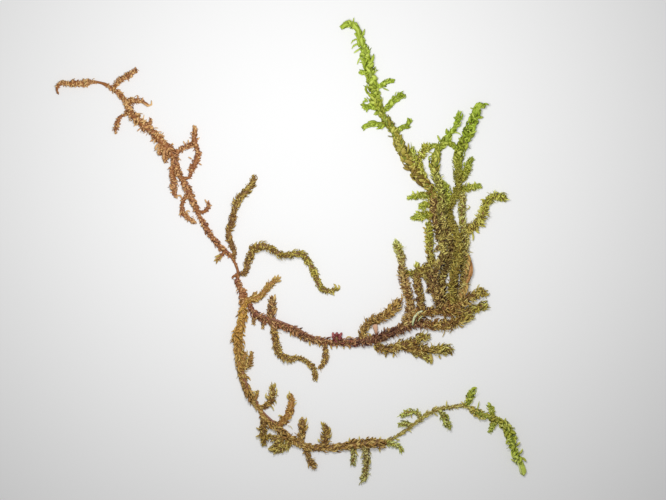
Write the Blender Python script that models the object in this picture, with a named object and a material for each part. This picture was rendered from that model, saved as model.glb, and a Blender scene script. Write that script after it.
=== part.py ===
"""Scorpidium moss: one long branching plant, washed clean and laid flat on a sheet.

The plant is split at its main forks. Each solid is a leafy shoot out to the tips of its
leaves: a round cord that swells and steps back once for every whorl of leaves, with the
small side twigs fused to the shoot that they grow from. Routes are in millimetres, seen
from above, and run the way the shoot grows, so that the whorls open towards its tip.
"""
import math

import bmesh
import bpy
import numpy as np

MM = 0.001

# Driving dimensions, in millimetres
WHORL_STEP = 3.2
WHORL_RISE = 2.5
NARROW = 0.80
WIDE = 1.08
SETTLE = 0.75
GAP = 0.3
ENVELOPE_STEP = 1.5
BLUNT = 0.55
LAST_WHORL = 0.5
LAST_TIPS = 0.3
SIX_SIDED = 1
WELD = 0.01
SHEET_SIZE = 140.0
SHEET_DEPTH = 6.0
FLAT_ENOUGH = math.radians(5.0)

# Colours of the shoots, from the dead end to the growing tips
RUST = (0.36, 0.13, 0.03)
OCHRE = (0.30, 0.16, 0.025)
RED_BROWN = (0.15, 0.045, 0.02)
CRIMSON = (0.22, 0.01, 0.025)
OLIVE = (0.20, 0.15, 0.02)
DARK_OLIVE = (0.11, 0.09, 0.015)
FRESH_GREEN = (0.24, 0.36, 0.02)
LIME = (0.36, 0.50, 0.04)

LEAF_ROUGHNESS = 0.55

for old in list(bpy.data.objects):
    bpy.data.objects.remove(old, do_unlink=True)

plant_parts = bpy.data.collections.new("scorpidium_moss")
cutters = bpy.data.collections.new("cutters")
bpy.context.scene.collection.children.link(plant_parts)
bpy.context.scene.collection.children.link(cutters)

# Routes of the shoots that stand already, which later ones are cut clear of
grown_routes = []


def columns(route):
    """The x, y, height and radius of a route's points; a fourth number lifts a point off the sheet."""
    x = np.array([point[0] for point in route])
    y = np.array([point[1] for point in route])
    radius = np.array([point[2] for point in route])
    lift = np.array([point[3] if len(point) > 3 else 0.0 for point in route])
    return np.stack([x, y, lift + SETTLE * radius, radius], axis=1)


def route_length(route):
    points = columns(route)
    return float(np.linalg.norm(np.diff(points[:, :3], axis=0), axis=1).sum())


def smooth(route, stations):
    """A cubic through the route's points, read at distances along it."""
    points = columns(route)
    along = np.concatenate([[0.0], np.cumsum(np.linalg.norm(np.diff(points[:, :3], axis=0), axis=1))])
    slope = np.gradient(points, along, axis=0)
    piece = np.clip(np.searchsorted(along, stations, side="right") - 1, 0, len(along) - 2)
    width = along[piece + 1] - along[piece]
    t = ((stations - along[piece]) / width)[:, None]
    width = width[:, None]
    start, end = points[piece], points[piece + 1]
    rise, fall = slope[piece] * width, slope[piece + 1] * width
    return ((2 * t**3 - 3 * t**2 + 1) * start + (t**3 - 2 * t**2 + t) * rise
            + (3 * t**2 - 2 * t**3) * end + (t**3 - t**2) * fall)


def cord(name, samples, collection):
    """A tube through the samples as a mesh: a poly curve with a bevel and filled caps, caps welded."""
    curve = bpy.data.curves.new(name, "CURVE")
    curve.dimensions = "3D"
    curve.bevel_depth = MM
    curve.bevel_resolution = SIX_SIDED
    curve.use_fill_caps = True
    spline = curve.splines.new("POLY")
    spline.points.add(len(samples) - 1)
    for point, (x, y, z, radius) in zip(spline.points, samples):
        point.co = (x * MM, y * MM, z * MM, 1.0)
        point.radius = radius
    holder = bpy.data.objects.new(name + "_curve", curve)
    bpy.context.scene.collection.objects.link(holder)
    graph = bpy.context.evaluated_depsgraph_get()
    mesh = bpy.data.meshes.new_from_object(holder.evaluated_get(graph))
    weld_caps(mesh)
    tube = bpy.data.objects.new(name, mesh)
    tube.matrix_world = holder.matrix_world.copy()
    collection.objects.link(tube)
    bpy.data.objects.remove(holder, do_unlink=True)
    return tube


def weld_caps(mesh):
    work = bmesh.new()
    work.from_mesh(mesh)
    bmesh.ops.remove_doubles(work, verts=work.verts, dist=WELD * MM)
    bmesh.ops.recalc_face_normals(work, faces=work.faces)
    work.to_mesh(mesh)
    work.free()


def whorled_cord(name, route, collection):
    """The leafy shoot: narrow where a whorl of leaves starts, wide at its tips, then back."""
    length = route_length(route)
    starts = np.arange(0.0, length - LAST_WHORL, WHORL_STEP)
    tips = starts + WHORL_RISE
    stations = np.concatenate([starts, tips[tips < length - LAST_TIPS]])
    swell = np.where(np.arange(len(stations)) < len(starts), NARROW, WIDE)
    order = np.argsort(stations)
    stations = np.append(stations[order], length)
    swell = np.append(swell[order], BLUNT)
    samples = smooth(route, stations)
    samples[:, 3] *= swell
    return cord(name, samples, collection)


def envelope(route):
    """A plain tube a gap wider than the shoot, which cuts its neighbours clear of it."""
    length = route_length(route)
    stations = np.linspace(0.0, length, max(3, int(length / ENVELOPE_STEP) + 1))
    samples = smooth(route, stations)
    samples[:, 3] = samples[:, 3] * WIDE + GAP
    heading = samples[-1, :3] - samples[-2, :3]
    samples[-1, :3] += heading / np.linalg.norm(heading) * GAP
    return cord("envelope", samples, cutters)


def apply_boolean(target, tool, operation):
    change = target.modifiers.new(operation.lower(), "BOOLEAN")
    change.operation = operation
    change.solver = "EXACT"
    change.object = tool
    graph = bpy.context.evaluated_depsgraph_get()
    mesh = bpy.data.meshes.new_from_object(target.evaluated_get(graph))
    target.modifiers.clear()
    spent = target.data
    target.data = mesh
    bpy.data.meshes.remove(spent)
    bpy.data.objects.remove(tool, do_unlink=True)


def keep_largest_body(target):
    """Drops the crumbs that cuts leave on the far side of a neighbour, and joins facets in one plane."""
    work = bmesh.new()
    work.from_mesh(target.data)
    unseen = set(work.faces)
    bodies = []
    while unseen:
        front = [unseen.pop()]
        body = list(front)
        while front:
            face = front.pop()
            for edge in face.edges:
                if len(edge.link_faces) != 2:
                    continue
                for other in edge.link_faces:
                    if other in unseen:
                        unseen.discard(other)
                        body.append(other)
                        front.append(other)
        bodies.append(body)
    bodies.sort(key=len, reverse=True)
    crumbs = [face for body in bodies[1:] for face in body]
    bmesh.ops.delete(work, geom=crumbs, context="FACES")
    bmesh.ops.dissolve_limit(work, angle_limit=FLAT_ENOUGH, verts=work.verts, edges=work.edges)
    work.to_mesh(target.data)
    work.free()


def boxes_meet(target, route):
    """Whether the shoot's box and a standing route's box come within a gap of each other."""
    points = columns(route)
    reach = points[:, 3:].max() * WIDE + GAP
    low = (points[:, :3].min(axis=0) - reach) * MM
    high = (points[:, :3].max(axis=0) + reach) * MM
    corners = np.array([vert.co for vert in target.data.vertices])
    return bool(np.all(corners.min(axis=0) < high) and np.all(corners.max(axis=0) > low))


def press_flat(target):
    """Cuts off what would sink into the sheet, so that the shoot rests on a flat."""
    bpy.ops.mesh.primitive_cube_add(size=1.0, location=(0.0, 0.0, -SHEET_DEPTH / 2 * MM))
    sheet = bpy.context.object
    sheet.name = "sheet"
    sheet.scale = (SHEET_SIZE * MM, SHEET_SIZE * MM, SHEET_DEPTH * MM)
    sheet.hide_render = True
    sheet.display_type = "WIRE"
    apply_boolean(target, sheet, "DIFFERENCE")


def paint(target, colour):
    material = bpy.data.materials.new(target.name + "_leaves")
    material.use_nodes = True
    shader = material.node_tree.nodes["Principled BSDF"]
    shader.inputs["Base Color"].default_value = (*colour, 1.0)
    shader.inputs["Roughness"].default_value = LEAF_ROUGHNESS
    shader.inputs["Metallic"].default_value = 0.0
    target.data.materials.clear()
    target.data.materials.append(material)


def grow(name, colour, *routes):
    """One shoot with its small twigs fused to it, clear of the shoots that stand already."""
    shoot = whorled_cord(name, routes[0], plant_parts)
    for route in routes[1:]:
        apply_boolean(shoot, whorled_cord("twig", route, cutters), "UNION")
    press_flat(shoot)
    for route in grown_routes:
        if boxes_meet(shoot, route):
            apply_boolean(shoot, envelope(route), "DIFFERENCE")
    keep_largest_body(shoot)
    paint(shoot, colour)
    grown_routes.extend(routes)
    return shoot


# Old shoot: the rust-brown end, half bare, with shrivelled twigs
grow(
    "old_shoot_end", RUST,
    [(-52.4, 35.5, .35, .3), (-52.5, 37.2, .5, .2), (-50.6, 38, .7), (-48, 38, .8), (-45.4, 38.3, .75),
     (-43.8, 38.3, .35), (-42, 37.8, .45), (-40.4, 36.8, .6), (-38.6, 35.6, .7), (-37.3, 33.8, .7),
     (-36.7, 32.3, .85), (-35.5, 30.6, 1.1), (-33.6, 28.9, 1.1), (-31.3, 27, 1.05), (-28.9, 24.5, 1.15),
     (-26.7, 22.2, 1.2), (-26.1, 20.2, .95)],
    [(-40, 37.2, .5), (-38.5, 38.7, .75), (-36.6, 39.9, .8), (-34.6, 41.2, .65)],
    [(-37.4, 34, .6), (-35.2, 34.1, .8), (-33.4, 33.8, .4), (-31.8, 32.8, .45)],
    [(-36.8, 31.2, .5), (-38.7, 30.4, .45), (-39.3, 28.6, .65), (-39.9, 26.8, .6)],
    [(-32.6, 28.1, .5), (-31.8, 29.4, .45), (-31.7, 30.6, .35)],
    [(-33.2, 28, .6), (-33.5, 26.8, .45)],
    [(-29, 24.6, .8), (-29.4, 22.8, .95), (-29.7, 21.5, .6)],
    [(-28, 23, .8), (-28.4, 21.2, .75), (-28.4, 19.9, .45)],
)
grow(
    "old_shoot_base", RUST,
    [(-26.3, 21, .9), (-25.5, 18, .75), (-24.2, 15.6, .7), (-23.2, 13.8, .8), (-22.3, 11.6, .85),
     (-21.4, 9.7, .75), (-20.3, 7.2, .5), (-18.7, 4.9, .6), (-17.2, 2.6, .6), (-15.6, .8, .5),
     (-13.9, -.6, .4), (-12.8, -2.4, .35), (-12.1, -4.6, .4), (-12.2, -6.4, .6), (-11.6, -8, .85),
     (-11, -9.6, 1.1), (-10.9, -11.2, 1.1)],
    [(-21.2, 9.2, .45), (-19.8, 9.1, .45), (-18.9, 10, .55), (-18.9, 11.8, .35)],
    [(-15, .2, .45), (-16.2, -1, .5), (-17, -2.1, .5)],
    [(-12.1, -4.8, .35), (-13.9, -5.8, .3)],
)
grow(
    "old_branch_left", RUST,
    [(-26.2, 20.6, .7), (-27, 18.6, .7), (-26.5, 15.8, .9), (-26.5, 13.9, .75), (-25.9, 12, .35)],
)
grow(
    "old_branch_inner", RUST,
    [(-23.2, 13.4, .5), (-24.5, 11.4, .55), (-24.7, 9.6, .65), (-23.9, 8.2, .75), (-22.6, 7.2, .65),
     (-21.5, 6.5, .45)],
)
grow(
    "old_branch_right", RUST,
    [(-24.9, 16.6, .4), (-23.1, 16.9, .45), (-22.6, 18.4, .65), (-21.6, 20.4, .75), (-21, 22.2, .65),
     (-21.7, 24.2, .7), (-22, 25.8, .75), (-21.8, 27.4, .7), (-21.9, 28.7, .4)],
    [(-26.2, 22.3, .6), (-24, 23.6, .65), (-22, 24.5, .65)],
)

# Olive branches that leave the old shoot above the main fork
grow(
    "upright_branch", OLIVE,
    [(-13.2, -1.6, .45), (-12.9, -.3, .6), (-13.5, 1.7, .65), (-14.3, 3.9, .7, .3), (-13.5, 6.6, .8, .6),
     (-12.9, 9.4, .75, .6), (-11.9, 12, .85, .3), (-10.1, 13.9, .85), (-8.8, 15.8, .75), (-8.4, 17.6, .5)],
)
grow(
    "arched_branch", OLIVE,
    [(-12, -4.9, .45), (-10.5, -4.5, .75), (-10.1, -3, .75), (-9.4, -1, .8, .3), (-8.3, .9, .9, .6),
     (-6.6, 1.5, .85, .9), (-4.3, .6, .8, 1.1), (-2.2, -.6, .8, 1.1), (.2, -.4, .85, .9), (2, -.2, .8, .6),
     (3.4, -1.7, .8, .3), (4.7, -4, .8), (5.8, -6.4, .8), (7, -8.3, .8), (8.4, -8.7, .7), (10.5, -7.8, .45)],
)
grow(
    "fork_branch", OCHRE,
    [(-10.9, -10.6, .8), (-9.2, -10.6, .85), (-7.4, -10.1, .85), (-5.6, -8, .75), (-4.2, -6.6, .65),
     (-2.9, -5.7, .4)],
    [(-8.5, -10.3, .6), (-8.2, -8.6, .5)],
)

# Lower shoot: from the main fork, down and round to the lime tip at the right
grow(
    "lower_shoot_upper", OCHRE,
    [(-10.8, -10.4, 1.1), (-11, -13.6, 1.05), (-11.5, -16.4, 1.2), (-12.1, -19.2, 1.25), (-12, -22, 1.0),
     (-11.8, -24.8, .95), (-11.3, -27.6, .8), (-10.4, -30.2, .8), (-9.1, -32.8, .85), (-7.4, -35, .65),
     (-6.2, -37, .65), (-4.4, -38.6, .75)],
    [(-11.5, -26.4, .7), (-9.8, -25, .85), (-9.1, -23.2, .5), (-9.1, -22, .3)],
    [(-11.4, -25.2, .8), (-10.7, -23.4, .8), (-10.9, -21.9, .45)],
    [(-11.2, -27.2, .5), (-9.8, -28.5, .35)],
    [(-8.6, -33.5, .55), (-7.9, -32, .45), (-7.8, -30.9, .35)],
)
grow(
    "lower_twig_inner", OLIVE,
    [(-7.4, -35, .5), (-5.8, -34.4, .7), (-4.7, -32.8, 1.0), (-4.3, -31.2, .9), (-4.2, -29.8, .45)],
)
grow(
    "lower_twig_outer", OLIVE,
    [(-6.7, -36.6, .65), (-6.3, -38.6, .85), (-6.4, -40.6, 1.1), (-6.3, -42.4, .8), (-6, -43.8, .45)],
)
grow(
    "lower_shoot_middle", OCHRE,
    [(-4.9, -38.2, .75), (-3.4, -39.3, .8), (-1.4, -41, .85), (1.6, -43, .85), (4.2, -43.8, .85),
     (7, -43.8, .85), (9.6, -43.8, .85), (13.8, -43.2, .9), (16.6, -42.9, 1.1), (19.2, -42.8, 1.2),
     (20.4, -42.9, .9), (21.4, -42.6, .45)],
    [(2, -43, .65), (2.4, -40.6, .7), (2.4, -38.8, .9), (2.5, -37.1, .4)],
    [(2.2, -41.8, .55), (1.1, -40.6, .45)],
    [(3, -43.6, .6), (3.6, -45.8, .7), (4.6, -47.4, .85), (5.4, -48.7, .55)],
    [(13.5, -43.4, .6), (13.7, -45, .6), (13.8, -46.6, .7), (13.6, -48, .5)],
)
grow(
    "orange_twig", RUST,
    [(-3.6, -39.2, .6), (-1.8, -38, .85), (-.8, -36.4, .9), (-.3, -34.6, .85), (-.1, -33, .7),
     (-.4, -31.5, .35)],
    [(-2, -38.2, .5), (-2.5, -36.5, .4)],
)
grow(
    "lower_clump", OLIVE,
    [(-1.2, -41.2, .7), (-3.4, -41.9, .85), (-5, -41.4, .65), (-5.5, -40.7, .4)],
    [(-2, -41.7, .7), (-3.1, -43.1, .9), (-4.4, -44.2, .6)],
    [(-.6, -42, .6), (-1.2, -43.5, .75), (-3.4, -44.4, .75), (-5.4, -43.9, .4)],
)
grow(
    "broad_twig", OLIVE,
    [(7.2, -43.6, 1.4), (7.5, -42, 1.15), (7.7, -40.4, .95), (7.1, -38.3, .5)],
)
grow(
    "hanging_twig", OLIVE,
    [(16.2, -43, .75), (16.7, -45.4, .9), (16.6, -48.2, .8), (16.3, -50.3, .75), (15.3, -51.5, .5)],
)
grow(
    "lower_shoot_bare", OCHRE,
    [(20.6, -42.8, .5), (23, -41.6, .4), (26, -39.7, .4, .3), (28.4, -37.8, .45, .6), (30.6, -36.2, .45, .6),
     (33.2, -35.1, .5, .3), (35.8, -34.8, .5), (38.8, -34.5, .5), (40.8, -35.4, .6)],
    [(21.2, -42.7, .55), (23.2, -43.2, .75), (24.4, -44, .65), (24.9, -45.1, .4)],
    [(27.2, -38.8, .45), (25.4, -38.5, .6), (23.7, -38.8, .4)],
    [(28.8, -37.4, .4, .4), (28.3, -36.1, .5, .2), (27, -35.9, .65), (25.4, -36.1, .65), (24.3, -37.1, .4)],
    [(33, -35.2, .5, .3), (34.2, -37, .75), (35, -38.6, .85), (35.5, -39.7, .5)],
    [(39.3, -34.6, .5), (39.9, -32.8, .8), (40.5, -31.2, .95), (41, -29.8, .5)],
)
grow(
    "lower_shoot_tip", LIME,
    [(39.9, -34.9, .55), (42, -36.2, .8), (44.4, -36.9, .9), (46.4, -37.9, .95), (48.4, -39.5, 1.05),
     (49.2, -41.8, 1.1), (49.8, -44.2, 1.1), (50.7, -46.5, 1.05), (51.7, -48.5, .9), (52.4, -50.3, .6)],
    [(45, -37, .55), (44.8, -35.2, .65), (43.9, -33.8, .45)],
    [(45.8, -37.8, .55), (44.9, -39.3, .65), (44.3, -40.6, .4)],
)

# Middle stem: dark red-brown, from the main fork to the tuft, with its bud
grow(
    "middle_stem", RED_BROWN,
    [(-9.5, -10.8, .5), (-9.2, -12.7, .65), (-8.2, -13.9, .8), (-6.2, -14.9, .85), (-3.8, -15.9, .95),
     (-1.4, -16.8, .9), (1, -17.8, .95), (3.4, -19.1, .9), (5.8, -19.8, .75), (8.2, -20.1, .75),
     (11.8, -20.3, .85), (14.4, -20.2, .9)],
    [(-4.7, -15.4, .7), (-4.6, -13.4, .95), (-4.3, -11.4, 1.0), (-4.6, -9.6, .5)],
    [(-8.6, -14, .5), (-8.6, -16.5, .35)],
    [(-6.4, -15.2, .5), (-6.5, -17.3, .35)],
)
grow(
    "red_bud", CRIMSON,
    [(10, -20.3, .8), (10, -19.2, 1.0, .2), (10.1, -18, .6, .4)],
)
grow(
    "middle_branch_long", OLIVE,
    [(-4.4, -16, .7), (-4, -17.8, .8), (-3.4, -20.6, .9), (-2.6, -23, .9), (-.6, -24, .85), (1.6, -23.7, .6),
     (3.4, -24.6, .55), (5, -26.4, .7), (5.4, -29, .5)],
)
grow(
    "middle_branch_short", OLIVE,
    [(7.1, -20.2, .6), (7.6, -22.4, .65), (7.4, -24.2, .7), (6, -26.4, .45)],
)

# Tuft: the stem thickens and fans into many crowded branches
grow(
    "tuft_stem", RED_BROWN,
    [(13.4, -20.2, .9), (16, -20, 1.0), (18.2, -19.7, 1.15), (20.2, -18.9, 1.4), (22.2, -18, 1.6),
     (24.4, -17.2, 1.5), (26.6, -16.3, 1.3), (28.8, -16, 1.15), (30.4, -16, 1.1)],
)
grow(
    "tuft_branch_low_right", OLIVE,
    [(29.4, -16.1, 1.2), (31.4, -16.2, 1.1), (33.6, -16.3, 1.2), (35.6, -16, 1.2), (37.4, -15.4, 1.2),
     (39.4, -14.7, 1.0), (41.3, -14.3, .6)],
)
grow(
    "tuft_branch_right", OLIVE,
    [(26.6, -15, 1.3, .3), (28.8, -13.7, 1.25, .3), (31, -13.2, 1.1), (33, -13.2, 1.1), (35, -13.4, 1.1),
     (37, -13.5, 1.1), (39, -13.3, 1.0), (41.4, -12.5, 1.0), (43, -12, 1.0), (44.2, -12.1, .5)],
)
grow(
    "tuft_branch_upper_right", OLIVE,
    [(33.6, -12.6, 1.0, 1.2), (35.8, -11.9, 1.15, .9), (38, -11.2, 1.25, .5), (40, -10.1, 1.3, .2),
     (41.5, -9.3, 1.25), (42.8, -8.9, 1.15), (44, -9.3, .5)],
)
grow(
    "tuft_lower_branch", OLIVE,
    [(18.8, -20, .7), (19.9, -21.4, .9), (21.1, -21.8, 1.1), (22.6, -21.5, 1.2), (24.6, -20.8, 1.15),
     (26.6, -20.2, 1.05), (28.6, -19.4, 1.0), (30, -18.9, 1.05), (31.2, -18.8, .5)],
)
grow(
    "tuft_lowest_branch", OLIVE,
    [(24.2, -21, .7), (25.8, -21.4, .8), (27.5, -21.6, 1.0), (29.3, -21.7, 1.15), (31, -21.9, 1.1),
     (33, -21.8, 1.1), (35, -21.7, 1.05), (36.4, -22, .5)],
    [(26.6, -22, .7), (28.6, -22.9, .8), (30.2, -23.5, .8), (31.4, -25, .35)],
)
grow(
    "tuft_arch", OCHRE,
    [(15.5, -19.8, .8), (16, -17.8, .95), (17, -16.1, 1.05), (18.5, -15.1, 1.1), (20.2, -14.6, 1.15),
     (21.8, -13.6, 1.25), (23, -12.4, 1.25), (23.9, -11.2, 1.15), (24.1, -10.3, .7)],
)
grow(
    "tuft_left_leader", OCHRE,
    [(24.8, -16.8, 1.2, .6), (26.2, -14.6, 1.3, .4), (26.6, -12.6, 1.25), (26.4, -10.4, 1.2),
     (25.8, -8.4, 1.3), (25.1, -6.4, 1.2), (24.8, -4.6, 1.15), (24.7, -3, .85), (24.5, -1, .9),
     (24, .6, 1.1), (23.5, 1.7, 1.05), (22.9, 2.5, .45)],
)
grow(
    "tuft_left_column", OLIVE,
    [(27.9, -15, 1.2, .8), (28.8, -13, 1.1, .3), (29, -11.2, 1.05), (28.7, -9.2, 1.05), (28.3, -7.4, 1.1),
     (28.2, -5.6, 1.1), (29.2, -4.2, 1.1), (30.7, -3.3, 1.1), (31.4, -1.9, 1.0), (31.1, -.2, 1.0),
     (31, 1.6, .95), (30.9, 3.2, .95), (30.8, 5, .95), (30.6, 7, .6)],
    [(28.4, -5, .8), (28.2, -3.5, .8), (28.3, -2.2, .4)],
    [(28.6, -5, .85), (26.8, -4.7, .8), (25.4, -4.8, .7)],
)
grow(
    "tuft_column_green", DARK_OLIVE,
    [(33.2, -12.6, 1.1, 1.0), (32.6, -10.4, 1.15, 1.5), (31.9, -8, 1.15, 1.5), (31.7, -5.6, 1.15, 1.5),
     (32.4, -3.2, 1.1, 1.5), (33.8, -1.3, 1.1, 1.1), (34.1, .8, 1.1, .6), (33.7, 2.8, 1.1, .2),
     (32.9, 4.8, 1.15), (32.2, 6.8, 1.15), (31.9, 9, 1.15), (31.9, 11.2, 1.15), (31.7, 13.4, 1.25)],
)
grow(
    "green_leader", FRESH_GREEN,
    [(31.9, 12.2, 1.2), (31.1, 14.3, 1.25), (29.5, 15.8, 1.3), (28, 17.5, 1.25), (26.9, 19.3, 1.25),
     (25.8, 21.2, 1.25), (24.7, 23.2, 1.3), (23.9, 25.1, 1.2), (22.9, 27.1, 1.15), (21.2, 29.6, 1.15),
     (20.2, 31.1, 1.0), (19.5, 32.8, 1.0), (18.7, 34.6, 1.1), (18.4, 36.4, 1.3), (17.9, 38.2, 1.25),
     (17.6, 40, 1.25), (17.1, 42.4, 1.3), (16.6, 44.4, 1.25), (16.2, 46, 1.0), (15.6, 47.8, .85, .2),
     (15, 49.5, .7, .5), (14.2, 50.6, .7, .8), (12.8, 51.1, .7, .9), (11.3, 50.5, .55, .8)],
    [(17.4, 40.4, .6), (15.9, 40.4, .6), (14.8, 40.9, .5)],
    [(18.8, 37, .6), (20.4, 37.7, .6), (22, 38.5, .6), (23, 38.3, .4)],
    [(20, 31.6, .6), (21.4, 32.6, .75), (23, 34.2, .8), (24.6, 35.3, .8), (25.7, 35, .45)],
    [(19.4, 32.4, .6), (18, 32.7, .7), (16.5, 32.8, .6), (15.7, 33.6, .35)],
    [(19.8, 31.6, .6), (18.3, 31.5, .6)],
    [(21.4, 29.2, .7), (19.7, 28.6, .7), (18.2, 28.9, .7), (16.9, 28.6, .65), (15.8, 27.6, .45)],
    [(23, 27, .6), (24.7, 28, .65), (26.2, 28.9, .7), (26.4, 30.2, .45)],
)
grow(
    "tuft_column_olive", DARK_OLIVE,
    [(34.6, -12.2, 1.1, .2), (34, -9.8, 1.15), (33.6, -7.4, 1.15), (33.9, -5, 1.1), (34.9, -3, 1.1),
     (35.7, -1, 1.1), (35.9, 1, 1.1), (35.4, 3, 1.05, .4), (34.5, 5, 1.05, 1.2), (33.7, 7, 1.05, 1.7),
     (33.5, 9.2, 1.05, 1.7), (33.6, 11.2, 1.05, 1.6), (33.4, 13.2, 1.05, 1.5), (33, 15, 1.05, 1.1),
     (32.4, 16.9, 1.1, .4), (32, 18.6, 1.05)],
)
grow(
    "loop_leader", FRESH_GREEN,
    [(32.1, 17.6, 1.0), (32.2, 20, 1.05), (32.5, 21.9, 1.0), (32.8, 23.2, .9), (33.7, 24.2, .85),
     (34.7, 25.2, .95), (35.5, 26.7, .6, .3), (36.5, 28, .65, .6), (37.1, 29.2, .8, .6), (37.3, 30.4, .85, .6),
     (37.5, 31.7, .45, .6)],
    [(34, 24.6, .8), (35.4, 24.5, .75), (36.6, 23.7, .7), (37.4, 22.8, .7)],
    [(33, 23.8, .6), (31.8, 23.9, .5), (30.8, 23.7, .55)],
)
grow(
    "right_leader", FRESH_GREEN,
    [(36.4, -11.4, 1.0, 1.6), (35.8, -9.4, 1.1, 1.8), (35.8, -7, 1.15, 1.9), (36.3, -4.8, 1.15, 1.9),
     (36.9, -2.6, 1.15, 1.9), (37.2, -.4, 1.1, 1.9), (37.3, 1.8, 1.1, 1.8), (37.1, 3.6, 1.1, 1.5),
     (36.3, 5.4, 1.1, 1.0), (35.4, 7.2, 1.05, .4), (35.1, 9, 1.05), (35.5, 10.8, 1.05), (36.4, 12.3, 1.1),
     (37.2, 13.8, 1.2), (37.4, 15.6, 1.15), (37.3, 17.6, 1.05), (37.2, 19.6, 1.1), (37.3, 21.2, 1.1),
     (37.7, 22.6, 1.2), (38.5, 24.2, 1.3), (39, 25.7, 1.3), (39.7, 27.2, 1.3), (40.3, 28.6, 1.3),
     (41, 29.9, 1.25), (41.3, 31.1, 1.0, .2), (41.6, 32.2, .85, .5), (42.4, 33, .7, .9), (43.4, 32.6, .5, 1.1)],
)
grow(
    "tuft_right_column", OCHRE,
    [(36.6, -11.2, 1.0, .2), (37.8, -9.2, 1.15), (38.6, -7.2, 1.2), (38.9, -5, 1.15), (38.7, -3, 1.05),
     (38.7, -1, 1.1), (38.8, 1, 1.15), (38.8, 3, 1.15), (38.6, 5, 1.1), (38.4, 7, .9), (38.2, 9, .85),
     (38.3, 10.8, .85), (38.3, 12.4, .85), (38, 13.8, .8)],
)
grow(
    "right_branch", OLIVE,
    [(38.8, 4.4, .9), (39.8, 5.2, .9), (41.4, 6.2, 1.25), (42.4, 7.6, 1.35), (43.1, 9, 1.2),
     (43.3, 10.3, .95), (44.1, 11.5, .9), (45, 12.4, 1.0), (46.4, 12.5, 1.0), (47.5, 12.3, .9),
     (48.3, 11.8, .45)],
)
grow(
    "tuft_inner_shoot", DARK_OLIVE,
    [(35.8, -10.8, 1.0), (36.1, -8.6, 1.05), (36.4, -6.4, 1.05), (36.6, -4.2, 1.0), (36.9, -2.4, .8),
     (37.1, -.8, .6)],
)
grow(
    "tuft_green_twig", FRESH_GREEN,
    [(34.2, 9.4, .7, .5), (34.7, 11.6, .9, .5), (34.6, 13.4, .9, .4), (34.3, 14.9, .85, .3), (33.6, 16.2, .4, .2)],
)
grow(
    "leader_twig", LIME,
    [(27.4, 19, .8, 1.0), (27.2, 20.6, .85, .9), (27.1, 22.2, .85, .7), (26.8, 23.7, .45, .6)],
)
grow(
    "left_loop_branch", OLIVE,
    [(29.8, 16.2, .9, .8), (29.1, 18, .9, .4), (28.6, 19.8, .85), (28.6, 21.2, .9), (29.3, 22.4, 1.0),
     (30.2, 23.4, 1.0), (29.9, 24.6, .5)],
)
grow(
    "right_twig_upper", FRESH_GREEN,
    [(37.8, 16.2, .7), (39, 17.6, .95), (39.5, 19, 1.1), (39.9, 20.2, .85), (40.3, 21.1, .5), (41, 20.9, .35)],
)
grow(
    "right_twig_lower", FRESH_GREEN,
    [(37.8, 13.8, .7), (39.6, 14.5, .8), (41.1, 14.8, .8), (42.7, 14.9, .45)],
)
grow(
    "left_twig_upper", FRESH_GREEN,
    [(31.4, 12.7, .8), (29.6, 12.8, .8), (28, 12.7, .85), (26.7, 12.4, .55), (25.7, 12.3, .3)],
)
grow(
    "left_twig_middle", FRESH_GREEN,
    [(31.6, 10.8, .8), (29.9, 10.7, .85), (28.3, 10.1, .45)],
)
grow(
    "left_twig_lower", FRESH_GREEN,
    [(31.8, 8.6, .9), (29.8, 8.4, .95), (28.4, 8.1, .95), (27.4, 7.8, .6), (26.6, 7.6, .3)],
)
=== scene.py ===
import math
from collections import namedtuple

import bpy
import numpy as np
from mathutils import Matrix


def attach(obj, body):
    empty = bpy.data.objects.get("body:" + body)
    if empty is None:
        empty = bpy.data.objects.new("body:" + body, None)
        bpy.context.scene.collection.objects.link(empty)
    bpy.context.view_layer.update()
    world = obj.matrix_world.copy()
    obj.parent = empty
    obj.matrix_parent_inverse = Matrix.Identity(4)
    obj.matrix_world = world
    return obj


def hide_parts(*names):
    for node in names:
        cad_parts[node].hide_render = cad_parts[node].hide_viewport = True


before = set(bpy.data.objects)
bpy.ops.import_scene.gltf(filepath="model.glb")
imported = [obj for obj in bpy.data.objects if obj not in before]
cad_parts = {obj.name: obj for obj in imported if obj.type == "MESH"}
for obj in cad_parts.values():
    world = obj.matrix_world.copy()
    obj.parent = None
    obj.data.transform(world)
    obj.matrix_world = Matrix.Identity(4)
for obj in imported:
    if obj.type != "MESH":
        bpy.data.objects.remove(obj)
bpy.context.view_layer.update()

# Old shoot: the dead end of the plant, a wiry rust-brown stem half stripped of its leaves, with a few
# shrivelled twigs. What leaves are left have dried narrow and twisted, with painted shade at their bases.
# Every stem is a closed tube along its route, and its leaves are set round it in one long spiral.
MM = 0.001
SETTLE = 0.75


def columns(route):
    """A route's x, y, stem height and radius in millimetres: a shoot's stem stands SETTLE of its radius
    above the sheet, and a point's fourth number lifts it further."""
    x, y, radius, lift = np.array([(*point, 0.0)[:4] for point in route]).T
    return np.stack([x, y, lift + SETTLE * radius, radius], axis=1)


def distances(points):
    """How far along the route each of its points lies: the running sum of the straight steps."""
    return np.concatenate([[0.0], np.cumsum(np.linalg.norm(np.diff(points[:, :3], axis=0), axis=1))])


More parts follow.
